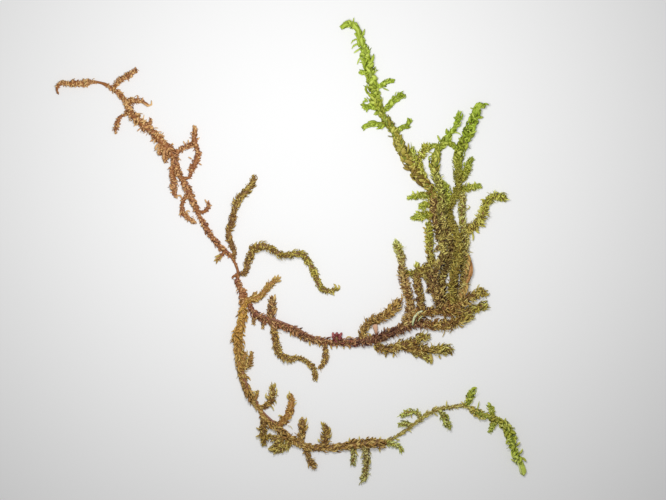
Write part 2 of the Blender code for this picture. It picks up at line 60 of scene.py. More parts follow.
def smooth(route, stations):
    """A cubic through the route's points, read at distances along it: between two points it is the
    Hermite blend of both places and of both slopes, each slope taken from the neighbours."""
    points = columns(route)
    along = distances(points)
    slope = np.gradient(points, along, axis=0)
    stations = np.clip(stations, 0.0, along[-1])
    piece = np.clip(np.searchsorted(along, stations, side="right") - 1, 0, len(along) - 2)
    width = along[piece + 1] - along[piece]
    t = ((stations - along[piece]) / width)[:, None]
    width = width[:, None]
    start, end = points[piece], points[piece + 1]
    rise, fall = slope[piece] * width, slope[piece + 1] * width
    return ((2 * t**3 - 3 * t**2 + 1) * start + (t**3 - 2 * t**2 + t) * rise
            + (3 * t**2 - 2 * t**3) * end + (t**3 - t**2) * fall)


NEARLY_ZERO = 1e-9


def unit(vectors):
    """Each vector over its own length."""
    return vectors / np.maximum(np.linalg.norm(vectors, axis=-1, keepdims=True), NEARLY_ZERO)


HEADING_STEP = 0.15


def carried_frame(route, stations):
    """Place and radius of a route at distances along it, with three directions: its heading, the level
    side (the sheet's upward normal crossed with the heading) and the upper side (heading cross side)."""
    points = smooth(route, stations)
    ahead = smooth(route, stations + HEADING_STEP)[:, :3]
    behind = smooth(route, stations - HEADING_STEP)[:, :3]
    heading = unit(ahead - behind)
    side = unit(np.cross([0.0, 0.0, 1.0], heading))
    return points[:, :3], points[:, 3], heading, side, np.cross(heading, side)


SQUASH_HEIGHT = 0.30


def press(points):
    """Lays what would sink into the sheet flat on it: below h the height z becomes h·exp((z - h) / h),
    which meets z smoothly at h and never reaches the sheet."""
    low = points[..., 2] < SQUASH_HEIGHT
    sunk = np.minimum(points[..., 2], SQUASH_HEIGHT) - SQUASH_HEIGHT
    squashed = SQUASH_HEIGHT * np.exp(sunk / SQUASH_HEIGHT)
    points[..., 2] = np.where(low, squashed, points[..., 2])
    return points


def surface(name, points, loops, starts, flat, marks):
    """A mesh piece from whole arrays: points in millimetres, the corners of its faces one after another,
    where each face starts, the corners' places on its flat pattern, and a number per point for each mark."""
    mesh = bpy.data.meshes.new(name)
    mesh.vertices.add(len(points))
    mesh.vertices.foreach_set("co", (points * MM).astype(np.float32).ravel())
    mesh.loops.add(len(loops))
    mesh.loops.foreach_set("vertex_index", loops.astype(np.int32))
    mesh.polygons.add(len(starts))
    mesh.polygons.foreach_set("loop_start", starts.astype(np.int32))
    mesh.update(calc_edges=True)
    mesh.uv_layers.new(name="OFBake").uv.foreach_set("vector", flat.astype(np.float32).ravel())
    for mark, numbers in marks.items():
        mesh.attributes.new(mark, "FLOAT", "POINT").data.foreach_set("value", numbers.astype(np.float32))
    mesh.shade_smooth()
    piece = bpy.data.objects.new(name, mesh)
    bpy.context.scene.collection.objects.link(piece)
    return piece


def ring_faces(rings, sides):
    """Corners and starts of a closed tube's faces: quads from ring to ring, a cap at its first ring and a
    fan from its last ring to the one point after it."""
    ring, side = np.meshgrid(np.arange(rings - 1), np.arange(sides), indexing="ij")
    here, beside = ring * sides + side, ring * sides + (side + 1) % sides
    quads = np.stack([here, beside, beside + sides, here + sides], axis=-1).reshape(-1, 4)
    last = (rings - 1) * sides + np.arange(sides)
    fan = np.stack([last, np.roll(last, -1), np.full(sides, rings * sides)], axis=-1)
    cap = np.arange(sides)[::-1]
    loops = np.concatenate([quads.ravel(), fan.ravel(), cap])
    sizes = np.concatenate([np.full(len(quads), 4), np.full(sides, 3), [sides]])
    return loops, np.concatenate([[0], np.cumsum(sizes)[:-1]])


WALL_WIDTH = 0.88
CAP_X = 0.94
CAP_Y = 0.05
CAP_RADIUS = 0.04


def ring_pattern(heights, sides):
    """The same corners laid flat: round the tube across nine tenths of a square, along it up the square,
    and the cap as a small circle in the strip that is left."""
    rings = len(heights)
    ring, side = np.meshgrid(np.arange(rings - 1), np.arange(sides), indexing="ij")
    across = np.stack([side, side + 1, side + 1, side], axis=-1) / sides * WALL_WIDTH
    up = np.stack([heights[ring], heights[ring], heights[ring + 1], heights[ring + 1]], axis=-1)
    k = np.arange(sides)
    fan_across = np.stack([k, k + 1, k + 0.5], axis=-1) / sides * WALL_WIDTH
    fan_up = np.stack([np.full(sides, heights[-1]), np.full(sides, heights[-1]), np.ones(sides)], axis=-1)
    turn = 2 * math.pi * k[::-1] / sides
    cap = np.stack([CAP_X + CAP_RADIUS * np.cos(turn), CAP_Y + CAP_RADIUS * np.sin(turn)], axis=-1)
    walls = np.stack([across, up], axis=-1).reshape(-1, 2)
    return np.concatenate([walls, np.stack([fan_across, fan_up], axis=-1).reshape(-1, 2), cap])


PATTERN_MARGIN = 0.04
PATTERN_SHARE = 0.92


def many(loops, starts, pattern, count, points_each):
    """The faces and the flat pattern of one shape, said again for each of many copies, each copy with
    its own square of a chessboard for its pattern."""
    copy = np.arange(count)
    all_loops = (loops[None, :] + copy[:, None] * points_each).ravel()
    all_starts = (starts[None, :] + copy[:, None] * len(loops)).ravel()
    board = math.ceil(math.sqrt(count))
    corner = np.stack([copy % board, copy // board], axis=-1)[:, None, :]
    all_flat = (corner + PATTERN_MARGIN + PATTERN_SHARE * pattern[None, :, :]) / board
    return all_loops, all_starts, all_flat.reshape(-1, 2)


# A leaf's rings from its base to just short of its point
RINGS = np.array([0.0, 0.18, 0.42, 0.68, 0.88])
WRAP = 0.7


def leaf_runs(heading, outward, lean, bend, curl):
    """Midribs of leaves of length 1, one a row: each starts out at an angle of lean + bend from the stem,
    ends at lean - bend, and sweeps round the stem by curl while keeping to the stem's side. Gives the
    way each midrib points, its sideways direction, and its places, the running sum of its ways."""
    across = np.cross(heading, outward)
    t = np.append(RINGS, 1.0)
    angle = (lean[:, None] + bend[:, None] * (1.0 - 2.0 * t))[..., None]
    sweep = (curl[:, None] * t)[..., None]
    away = outward[:, None] * np.cos(WRAP * sweep) + across[:, None] * np.sin(WRAP * sweep)
    around = across[:, None] * np.cos(WRAP * sweep) - outward[:, None] * np.sin(WRAP * sweep)
    way = unit(heading[:, None] * np.cos(angle) + away * np.sin(angle) + around * sweep)
    aside = around - heading[:, None] * sweep
    aside = unit(aside - way * np.sum(aside * way, axis=2, keepdims=True))
    steps = np.diff(t)[None, :, None] * (way[:, 1:] + way[:, :-1]) / 2
    return way, aside, np.concatenate([np.zeros((len(lean), 1, 3)), np.cumsum(steps, axis=1)], axis=1)


def reach_of(heading, run):
    """How far the furthest point of each midrib lies from the line of the stem that it started on."""
    along = np.sum(run * heading[:, None], axis=2, keepdims=True)
    return np.linalg.norm(run - along * heading[:, None], axis=2).max(axis=1)


def ring_places(across):
    """Round one ring of a leaf, where each point lies from margin (-1) to margin (1) and on which face:
    across points over the outer face (1) from margin to margin (0), and back over the inner face (-1)."""
    over = np.linspace(-1.0, 1.0, across)
    back = over[-2:0:-1]
    inner = np.ones(across - 2)
    return np.concatenate([over, back]), np.concatenate([[0.0], inner, [0.0], -inner])


LEAF_THICKNESS = 0.05
BLADE_BASE = 0.8
BLADE_SWELL = 2.2


def leaf_points(place, length, width, way, aside, run, cup, twist, point, across):
    """Closed leaves, one a row, on their midribs. Across it a blade is an arc of half angle cup, as wide
    as (base + swell t)(1 - t)^point along t, turned about the midrib by twist, and thin as a lens."""
    places, faces = ring_places(across)
    midrib = place[:, None] + length[:, None, None] * run
    way, aside, ribs = way[:, :-1], aside[:, :-1], midrib[:, :-1]
    back = np.cross(aside, way)
    turn = (twist[:, None] * RINGS)[..., None]
    aside, back = aside * np.cos(turn) + back * np.sin(turn), back * np.cos(turn) - aside * np.sin(turn)
    shape = (BLADE_BASE + BLADE_SWELL * RINGS) * (1.0 - RINGS)**point
    shape = shape / shape.max()
    half = (width[:, None] / 2 * shape)[..., None, None]
    arc = (cup[:, None] * places)[:, None, :, None]
    depth = cup[:, None, None, None]
    aside, back = aside[:, :, None], back[:, :, None]
    lens = LEAF_THICKNESS / 2 * (np.sqrt(shape)[:, None] * faces[None, :])[None, :, :, None]
    blade = half * (np.sin(arc) / depth * aside - (1.0 - np.cos(arc)) / depth * back) + lens * back
    rings = (ribs[:, :, None] + blade).reshape(len(place), -1, 3)
    return np.concatenate([rings, midrib[:, -1:]], axis=1)


# How a kind of shoot grows: its leaves' length and width, how slender their point is, their angles from
# the stem, how ragged they stand, their curl, how many stand on a millimetre, the share that stand out
# as spikes, their cup and twist, the stem's radius, the radius below which the shoot is bare, and how
# many points a leaf has across. The last five are usually these
USUAL = {"cup": 1.1, "twist": 0.5, "stem": 0.6, "bare": 0.2, "across": 3}
Habit = namedtuple("Habit", "length width point lean bend ragged curl crowd spikes".split() + list(USUAL),
                   defaults=USUAL.values())
BARE_FADE = 0.2
BARE_STEM = 0.85
COVERED_STEM = 0.7


def leafy(radius, habit):
    """0 where the shoot has worn down to its stem, 1 where it has all its leaves."""
    return np.clip((radius - habit.bare) / BARE_FADE, 0.0, 1.0)


def stem_radius(radius, habit):
    """A stem's own radius: that of its kind inside the leaves, and most of the shoot's where it is bare."""
    bare, covered = radius * BARE_STEM, np.minimum(habit.stem, COVERED_STEM * radius)
    return bare + (covered - bare) * leafy(radius, habit)


GOLDEN_TURN = math.radians(137.508)
FEWEST_LEAVES = 5
KNOB_STEP = 0.9
TOUSLE = 0.45
LEAN_SPREAD = 0.5
BEND_SPREAD = 0.7

# Lowest and highest of what is drawn evenly for each leaf
PLACE_DRAW = (-0.5, 0.5)
TURN_DRAW = (-0.6, 0.6)
CURL_DRAW = (0.2, 1.2)
CUP_DRAW = (0.7, 1.25)
WIDTH_DRAW = (0.6, 1.3)
REACH_DRAW = (1.15, 1.6)
KNOB_DRAW = (0.78, 1.18)
SPIKE_REACH_DRAW = (1.5, 2.1)
SPIKE_LEAN_DRAW = (0.7, 1.4)
SPIKE_BEND_DRAW = (-0.7, 0.3)

# Shares of a leaf's usual length: the last leaf's distance from the tip, how far ahead a leaf reaches, and
# the shortest and longest leaf. Shares of other things: where on the stem's radius a leaf starts, the
# least that it can open, the width of the narrowest, and how many hold on where the shoot is bare
LAST_LEAF = 0.3
REACH_AHEAD = 0.4
SHORTEST = 0.45
LONGEST = 1.4
LEAF_START = 0.8
CLOSED = 0.3
NARROWEST = 0.5
HOLDING_ON = 0.12


def place_leaves(route, habit, ripe, seed):
    """Leaves along one route: each a golden turn round from the last, leaning and bent as its habit says
    with a ragged spread, and as long as it takes to reach the shoot's radius there. Some stand out as
    spikes. Where there is little radius to reach, as at the tip, they close up instead. A few hold on
    where the shoot is bare."""
    chance = np.random.default_rng(seed)
    length = distances(columns(route))[-1]
    last = max(length - LAST_LEAF * habit.length, LAST_LEAF * length)
    count = max(FEWEST_LEAVES, int(last * habit.crowd))
    stations = (np.arange(count) + chance.uniform(*PLACE_DRAW, count)).clip(0.0) / count * last
    place, radius, heading, side, upper = carried_frame(route, stations)
    radius_ahead = smooth(route, stations + REACH_AHEAD * habit.length)[:, 3]
    azimuth = np.arange(count) * GOLDEN_TURN + chance.uniform(*TURN_DRAW, count)
    outward = side * np.cos(azimuth)[:, None] + upper * np.sin(azimuth)[:, None]
    spiky = chance.random(count) < habit.spikes
    lean = habit.lean + habit.ragged * chance.normal(0.0, LEAN_SPREAD, count)
    bend = habit.bend + habit.ragged * chance.normal(0.0, BEND_SPREAD, count)
    lean = np.where(spiky, chance.uniform(*SPIKE_LEAN_DRAW, count), lean)
    bend = np.where(spiky, chance.uniform(*SPIKE_BEND_DRAW, count), bend)
    tousled = unit(heading + TOUSLE * habit.ragged * chance.normal(0.0, 1.0, (count, 3)))
    curl = habit.curl * chance.uniform(*CURL_DRAW, count) * np.where(chance.random(count) < 0.5, -1.0, 1.0)
    knobs = np.arange(0.0, length + KNOB_STEP, KNOB_STEP)
    knobbly = np.interp(stations, knobs, chance.uniform(*KNOB_DRAW, len(knobs)))
    spike_reach = chance.uniform(*SPIKE_REACH_DRAW, count)
    reach = radius_ahead * np.where(spiky, spike_reach, knobbly * chance.uniform(*REACH_DRAW, count))
    start = LEAF_START * stem_radius(radius, habit)
    shortest = SHORTEST * habit.length
    way, aside, run = leaf_runs(tousled, outward, lean, bend, curl)
    closing = np.clip((reach - start) / (reach_of(heading, run) * shortest), CLOSED, 1.0)
    way, aside, run = leaf_runs(tousled, outward, lean * closing, bend * closing, curl * closing)
    blade = np.clip((reach - start) / reach_of(heading, run), shortest, LONGEST * habit.length)
    cup = habit.cup * chance.uniform(*CUP_DRAW, count)
    twist = habit.twist * chance.normal(0.0, 1.0, count)
    width = habit.width * chance.uniform(*WIDTH_DRAW, count) * np.where(spiky, NARROWEST, 1.0)
    width = width * (NARROWEST + (1.0 - NARROWEST) * blade / habit.length)
    points = leaf_points(place + outward * start[:, None], blade, width, way, aside, run, cup, twist,
                         habit.point, habit.across)
    age = np.interp(stations / length * (len(ripe) - 1), np.arange(len(ripe)), ripe)
    kept = chance.random(count) < HOLDING_ON + leafy(radius, habit)
    return press(points[kept]), age[kept], chance.random(count)[kept]


STEM_STEP = 0.5
STEM_SIDES = 8
FEWEST_RINGS = 4
STEM_SHORT_OF_TIP = 0.35
LEAST_STEM = 0.5
LUMP_DRAW = (0.88, 1.12)
TIP_TAPER = 0.6


def stem_points(route, habit, seed):
    """A wiry stem: rings of STEM_SIDES points round the route, a little lumpy where leaves were set."""
    chance = np.random.default_rng(seed)
    length = distances(columns(route))[-1]
    end = max(length - STEM_SHORT_OF_TIP * habit.length, LEAST_STEM * length)
    stations = np.linspace(0.0, end, max(FEWEST_RINGS, int(end / STEM_STEP)))
    place, radius, heading, side, upper = carried_frame(route, stations)
    thick = stem_radius(radius, habit) * chance.uniform(*LUMP_DRAW, len(stations))
    thick[-1] *= TIP_TAPER
    turn = 2 * math.pi * np.arange(STEM_SIDES) / STEM_SIDES
    circle = side[:, None] * np.cos(turn)[None, :, None] + upper[:, None] * np.sin(turn)[None, :, None]
    rings = place[:, None] + circle * thick[:, None, None]
    tip = place[-1] + heading[-1] * thick[-1]
    return press(np.concatenate([rings.reshape(-1, 3), tip[None]])), stations / length


class Dye:
    """A value or a colour on its way to a material's shader. Arithmetic on it adds Math nodes."""

    def __init__(self, tree, socket=None):
        self.tree = tree
        self.socket = socket

    def add(self, kind, settings, sockets, output=0):
        """Adds a node of any kind: its settings first, then the values of its sockets or the links to them.
        Gives back one of its outputs."""
        node = self.tree.nodes.new(kind)
        for name, value in settings.items():
            setattr(node, name, value)
        for name, value in sockets.items():
            if isinstance(value, Dye):
                self.tree.links.new(value.socket, node.inputs[name])
            else:
                node.inputs[name].default_value = value
        return Dye(self.tree, node.outputs[output])

    def math(self, operation, one, two, clamp=False):
        return self.add("ShaderNodeMath", {"operation": operation, "use_clamp": clamp}, {0: one, 1: two})

    def __add__(self, other):
        return self.math("ADD", self, other)

    __radd__ = __add__

    def __sub__(self, other):
        return self.math("SUBTRACT", self, other)

    def __rsub__(self, other):
        return self.math("SUBTRACT", other, self)

    def __mul__(self, other):
        return self.math("MULTIPLY", self, other)

    def __pow__(self, other):
        return self.math("POWER", self, other)

    def held(self):
        """The same value kept between 0 and 1."""
        return self.math("ADD", self, 0.0, clamp=True)

    def toward(self, one, two):
        """The colour that lies this far from one colour to the other."""
        return self.add("ShaderNodeMix", {"data_type": "RGBA"}, {0: self, 6: one, 7: two}, output=2)

    def mark(self, name):
        """A number that the mesh carries at each of its points."""
        return self.add("ShaderNodeAttribute", {"attribute_name": name}, {}, output=2)

    def mottle(self, scale, detail=2.0):
        """Cloudy noise through the piece, scale to the metre."""
        place = self.add("ShaderNodeTexCoord", {}, {}, output=3)
        return self.add("ShaderNodeTexNoise", {}, {"Vector": place, "Scale": scale, "Detail": detail})

    def relief(self, strength, depth):
        """The slope of a surface that stands up to depth high, in metres, where this value is 1."""
        return self.add("ShaderNodeBump", {}, {"Strength": strength, "Distance": depth, "Height": self})

    def into(self, shader, name):
        """Feeds this value to one of the shader's inputs."""
        self.tree.links.new(self.socket, shader.inputs[name])


DAMP_IOR = 1.35
GRAIN_DETAIL = 3.0


def finish_of(name):
    """A new material, the start of its dyes, and its shader."""
    material = bpy.data.materials.new(name)
    material.use_nodes = True
    shader = material.node_tree.nodes["Principled BSDF"]
    shader.inputs["IOR"].default_value = DAMP_IOR
    return material, Dye(material.node_tree), shader


LEAF_CLOUD_SCALE = 700.0
LEAF_GRAIN_SCALE = 5200.0
LEAF_RELIEF = 0.25
LEAF_RELIEF_DEPTH = 0.04
LEAF_ROUGHNESS = 0.38
ROUGHNESS_BY_GRAIN = 0.2

# Noise and chance numbers run from 0 to 1: their middle, and where they start to light or shade a leaf
MIDDLE = 0.5
LIT_TINT = 0.55
SHADY_TINT = 0.34
SHADY_CLOUD = 0.44

# How much each of them counts in how ripe a leaf looks, in its light and in its shade
RIPE_BY_TINT = 0.22
RIPE_BY_CLOUD = 0.5
LIGHT_BY_LENGTH = 0.35
LIGHT_BY_MARGIN = 0.6
LIGHT_BY_TINT = 1.6
LIGHT_BY_GRAIN = 0.9
LIGHT_CUT = 0.06
BASE_FADE = 2.2
SHADE_BY_BASE = 0.7
SHADE_BY_TINT = 2.8
SHADE_BY_CLOUD = 3.0


def leaf_finish(slot, old, young, variant="skin"):
    """Leaves of one slot, from a shoot's old end to its young end. Each end has three colours: a painted
    shade for a leaf's base, set in the shoot, which darker leaves and cloudy patches also take; its body;
    and a painted light where light comes through its margins and point and catches them, which lighter
    leaves also take. The painted light is a weighted sum of how far along its leaf a point lies, the
    square of how near the margin, the leaf's chance number and the grain; the painted shade is one of
    the leaf's base, its chance number and the cloud."""
    material, dye, shader = finish_of(slot + "_" + variant)
    tint, along, margin = dye.mark("tint"), dye.mark("along"), dye.mark("margin")
    cloud = dye.mottle(LEAF_CLOUD_SCALE)
    grain = dye.mottle(LEAF_GRAIN_SCALE, GRAIN_DETAIL)
    ripe = dye.mark("age") + (tint - MIDDLE) * RIPE_BY_TINT + (cloud - MIDDLE) * RIPE_BY_CLOUD
    ripe = ripe.held()
    shade_and_dark_leaf_colour, body, light = (ripe.toward(colour + (1.0,), fresh + (1.0,)) for colour, fresh in zip(old, young))
    # Painted light: lighter towards a leaf's point and margins, and on random lighter leaves and grain
    glow = along * LIGHT_BY_LENGTH + margin**2.0 * LIGHT_BY_MARGIN
    glow = glow + (tint - LIT_TINT) * LIGHT_BY_TINT + (grain - MIDDLE) * LIGHT_BY_GRAIN - LIGHT_CUT
    # Painted shade at a leaf's base, set in the shoot, with random darker leaves and cloudy patches
    shade = (1.0 - along * BASE_FADE).held() * SHADE_BY_BASE + (SHADY_TINT - tint).held() * SHADE_BY_TINT
    shade = shade + (SHADY_CLOUD - cloud).held() * SHADE_BY_CLOUD
    shade.held().toward(glow.held().toward(body, light), shade_and_dark_leaf_colour).into(shader, "Base Color")
    (LEAF_ROUGHNESS + grain * ROUGHNESS_BY_GRAIN).into(shader, "Roughness")
    grain.relief(LEAF_RELIEF, LEAF_RELIEF_DEPTH * MM).into(shader, "Normal")
    return slot, material


STEM_ROUGHNESS = 0.5
STEM_CLOUD_SCALE = 900.0
STEM_GRAIN_SCALE = 4200.0
STEM_RELIEF = 0.5
STEM_RELIEF_DEPTH = 0.06
RUBBED_BY_CLOUD = 1.1
RUBBED_BY_GRAIN = 0.8
RUBBED_CUT = 0.05


def stem_finish(name, dark, bare):
    """Bare stem: dull, darker and redder in its furrows than where its skin is rubbed."""
    material, dye, shader = finish_of(name)
    shader.inputs["Roughness"].default_value = STEM_ROUGHNESS
    grain = dye.mottle(STEM_GRAIN_SCALE, GRAIN_DETAIL)
    rubbed = dye.mottle(STEM_CLOUD_SCALE) * RUBBED_BY_CLOUD + (grain - MIDDLE) * RUBBED_BY_GRAIN - RUBBED_CUT
    rubbed.held().toward(dark + (1.0,), bare + (1.0,)).into(shader, "Base Color")
    grain.relief(STEM_RELIEF, STEM_RELIEF_DEPTH * MM).into(shader, "Normal")
    return material


def join_leaves(name, points, age, tint, leaves, across):
    """One mesh of many leaves, a row of points each, with their age and their own chance number. Every
    point also knows how far along its leaf it lies and how near a margin."""
    slot, skin = leaves
    count, each = points.shape[:2]
    places = ring_places(across)[0]
    loops, starts = ring_faces(len(RINGS), len(places))
    all_loops, all_starts, all_flat = many(loops, starts, ring_pattern(RINGS, len(places)), count, each)
    along = np.append(np.repeat(RINGS, len(places)), 1.0)
    margin = np.append(np.tile(np.abs(places), len(RINGS)), 1.0)
    marks = {"age": np.repeat(age, each), "tint": np.repeat(tint, each),
             "along": np.tile(along, count), "margin": np.tile(margin, count)}
    piece = surface(name, points.reshape(-1, 3), all_loops, all_starts, all_flat, marks)
    piece.data.materials.append(skin)
    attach(piece, "root")
    return piece


STEM_SEED_STEP = 50


def join_stems(name, stem, habit, *routes, seed):
    """One mesh of the stems along some routes, each with a strip of its own on the flat pattern."""
    loops, starts, flat, places, offset, corner = [], [], [], [], 0, 0
    for turn, route in enumerate(routes):
        points, share = stem_points(route, habit, seed + STEM_SEED_STEP * turn)
        ring_loops, ring_starts = ring_faces(len(share), STEM_SIDES)
        loops.append(ring_loops + offset)
        starts.append(ring_starts + corner)
        strip = ring_pattern(share, STEM_SIDES) * PATTERN_SHARE + [turn + PATTERN_MARGIN, PATTERN_MARGIN]
        flat.append(strip / [len(routes), 1.0])
        places.append(points)
        offset += len(points)
        corner += len(ring_loops)
    piece = surface(name, np.concatenate(places), np.concatenate(loops), np.concatenate(starts),
                    np.concatenate(flat), {})
    piece.data.materials.append(stem)
    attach(piece, "root")


LEAF_SEED_STEP = 7


def seed_of(name):
    """A piece's own seed: the sum of its letters' codes."""
    return sum(ord(letter) for letter in name)


def dress(node, leaves, stem, habit, ripe, *routes, twigs=None, twig_habit=None):
    """One shoot in place of its solid: its stem, and its leaves as one joined mesh. The first route is
    the shoot and the rest are its twigs. Ripeness runs evenly through the values given for the shoot,
    and for its twigs through twigs, or else from the shoot's middle value to its last."""
    seed = seed_of(node)
    join_stems(node + "_stem", stem, habit, *routes, seed=seed)
    twigs = twigs or (ripe[len(ripe) // 2], ripe[-1])
    grown = [place_leaves(routes[0], habit, ripe, seed + 1)]
    for turn, route in enumerate(routes[1:], 1):
        grown.append(place_leaves(route, twig_habit or habit, twigs, seed + LEAF_SEED_STEP * turn + 1))
    points, age, tint = (np.concatenate(part) for part in zip(*grown))
    leaf_piece = join_leaves(node + "_leaves", points, age, tint, leaves, habit.across)
    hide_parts(node)


def blades(widths, *places):
    """Routes of leaves that share their half widths: each place is x, y, x, y and so on."""
    return [list(zip(place[::2], place[1::2], widths)) for place in places]


LEAST_TINT = 0.35
TINT_RANGE = 0.6


def single_leaves(name, leaves, age, *routes, lift=0.5, cup=1.0, point=0.7, across=3):
    """Leaves that stand apart from the rest, each along a route of its own from its base to its point,
    with half the blade's width as the route's radius. They lie lift above the sheet, and a route's
    fourth number lifts a leaf further. Below zero cup rolls the margins down."""
    t = np.append(RINGS, 1.0)
    grown = []
    for route in routes:
        length = distances(columns(route))[-1]
        place, half, heading, side = carried_frame(route, t * length)[:4]
        place = place + [0.0, 0.0, lift]
        run = (place - place[0]) / length
        grown.append(leaf_points(place[:1], np.array([length]), 2 * half.max(keepdims=True), heading[None],
                                 side[None], run[None], np.array([cup]), np.zeros(1), point, across))
    points = press(np.concatenate(grown))
    tint = LEAST_TINT + TINT_RANGE * np.random.default_rng(seed_of(name)).random(len(points))
    join_leaves(name, points, np.full(len(points), age), tint, leaves, across)


# Colours are linear. Each set runs: painted shade, also of darker leaves; body; painted light, also
# of lighter leaves.
rust_leaves = leaf_finish(
    "rust_leaves",
    [(0.29, 0.11, 0.065), (0.48, 0.20, 0.083), (0.76, 0.44, 0.19)],
    [(0.52, 0.24, 0.105), (0.70, 0.40, 0.15), (0.84, 0.56, 0.23)])
rust_stem = stem_finish("rust_stem", (0.14, 0.035, 0.016), (0.44, 0.18, 0.045))
shrivelled = Habit(length=1.4, width=0.75, point=0.6, lean=1.0, bend=0.3, ragged=0.6, curl=3.1, cup=1.2,
                   twist=0.3, crowd=16.0, spikes=0.16, stem=0.75, bare=0.4)
rust_look = (rust_leaves, rust_stem, shrivelled)
dress("old_shoot_end", *rust_look, (1.0, 1.0, 0.9, 0.8, 0.5),
    [(-52.4, 35.5, .12, .3), (-52.8, 36.4, .35, .3), (-52.6, 37.4, .5, .2), (-51.6, 38.1, .6, .1),
     (-50.6, 38, .7), (-48, 38, .8), (-45.4, 38.3, .75), (-43.8, 38.3, .35), (-42, 37.8, .45),
     (-40.4, 36.8, .6), (-38.6, 35.6, .7), (-37.3, 33.8, .7), (-36.7, 32.3, .85), (-35.5, 30.6, 1.1),
     (-33.6, 28.9, 1.1), (-31.3, 27, 1.05), (-28.9, 24.5, 1.15), (-26.7, 22.2, 1.2), (-26.1, 20.2, .95)],
    [(-40, 37.2, .5), (-38.5, 38.7, .75), (-36.6, 39.9, .8), (-34.6, 41.2, .65)],
    [(-37.4, 34, .6), (-35.2, 34.1, .8), (-33.4, 33.8, .4), (-31.8, 32.8, .45)],
    [(-36.8, 31.2, .5), (-38.7, 30.4, .45), (-39.3, 28.6, .65), (-39.9, 26.8, .6)],
    [(-32.6, 28.1, .5), (-31.8, 29.4, .45), (-31.7, 30.6, .35)],
    [(-33.2, 28, .6), (-33.5, 26.8, .45)],
    [(-29, 24.6, .8), (-29.4, 22.8, .95), (-29.7, 21.5, .6)],
    [(-28, 23, .8), (-28.4, 21.2, .75), (-28.4, 19.9, .45)])
dress("old_shoot_base", *rust_look, (0.5, 0.4, 0.2, 0.1, 0.3),
    [(-26.3, 21, .9), (-25.5, 18, .75), (-24.2, 15.6, .75), (-23.2, 13.8, .85), (-22.3, 11.6, .9),
     (-21.4, 9.7, .8), (-20.3, 7.2, .55), (-19.4, 5.8, .75), (-18.5, 4.3, .8), (-17.4, 2.8, .7),
     (-16.5, 1.7, .75), (-15.3, .5, .65), (-13.9, -.6, .5), (-12.8, -2.4, .38), (-12.1, -4.6, .4),
     (-12.2, -6.4, .6), (-11.6, -8, .85), (-11, -9.6, 1.1), (-10.9, -11.2, 1.1)],
    [(-21.2, 9.2, .45), (-19.8, 9.1, .45), (-18.9, 10, .55), (-18.9, 11.8, .35)],
    [(-15, .2, .45), (-16.2, -1, .5), (-17, -2.1, .5)],
    [(-12.1, -4.8, .35), (-13.9, -5.8, .3)])
dress("old_branch_left", *rust_look, (0.5, 0.3),
    [(-26.2, 20.6, .7), (-27, 18.6, .7), (-26.5, 15.8, .9), (-26.5, 13.9, .75), (-25.9, 12, .35)])
dress("old_branch_inner", *rust_look, (0.3, 0.6),
    [(-23.2, 13.4, .5), (-24.5, 11.4, .55), (-24.7, 9.6, .65), (-23.9, 8.2, .75), (-22.6, 7.2, .65),
     (-21.5, 6.5, .45)])
dress("old_branch_right", *rust_look, (0.3, 0.1, 0.1, 0.6),
    [(-24.9, 16.6, .4), (-23.1, 16.9, .45), (-22.6, 18.4, .65), (-21.6, 20.4, .75), (-21, 22.2, .65),
     (-21.7, 24.2, .7), (-22, 25.8, .75), (-21.8, 27.4, .7), (-21.9, 28.7, .4)],
    [(-26.2, 22.3, .6), (-24, 23.6, .65), (-22, 24.5, .65)])
single_leaves("old_shoot_single_leaves", rust_leaves, 0.6,
    [(-33.5, 33.8, .25), (-32.3, 32.9, .3), (-31.5, 33.2, .28), (-31.6, 34.3, .12)],
    *blades((.2, .12), (-33.7, 34, -33.4, 34.9), (-34.6, 34.4, -34.6, 35.4)),
    [(-29.2, 23.9, .3, .4), (-29.9, 22.9, .35, .4), (-30, 21.8, .2, .2)],
    [(-28.3, 23.4, .3, .6), (-28.8, 21.9, .35, .5), (-28.6, 20.6, .2, .2)],
    [(-29.8, 24.5, .3, .3), (-30.5, 23.7, .3, .2), (-30.7, 22.9, .15)],
    *blades((.2, .12), (-31, 25.4, -31.9, 24.9), (-34.6, 29, -35.6, 28.3), (-33.9, 28, -34.8, 27.2),
        (-26.8, 16.8, -27.7, 17.4), (-26.6, 15.6, -27.5, 16.3), (-26.7, 14.7, -27.6, 15.1),
        (-26.6, 13.5, -27.4, 13.5), (-26.2, 13, -25.7, 12), (-20.8, 22, -20.1, 22.4),
        (-21, 20.1, -20.2, 19.6), (-22.5, 21, -23.3, 21.5), (-22.9, 18.5, -23.6, 18.7),
        (-21.3, 25.2, -20.7, 25.9), (-24, 24.2, -24.4, 25.1), (-23.2, 24.5, -23.3, 25.4)),
    [(-24.6, 12, .22), (-25.2, 12.9, .25), (-26, 12.4, .12)],
    *blades((.22, .22, .12), (-24.5, 9.4, -24.9, 9, -25.4, 8.3), (-24.2, 11.8, -23.4, 12.2, -23, 11.6),
        (-24, 8.9, -23.3, 9.4, -22.8, 9.1)),
    *blades((.22, .12), (-19, 11, -19.6, 12), (-18.7, 10.3, -17.9, 10.7)))

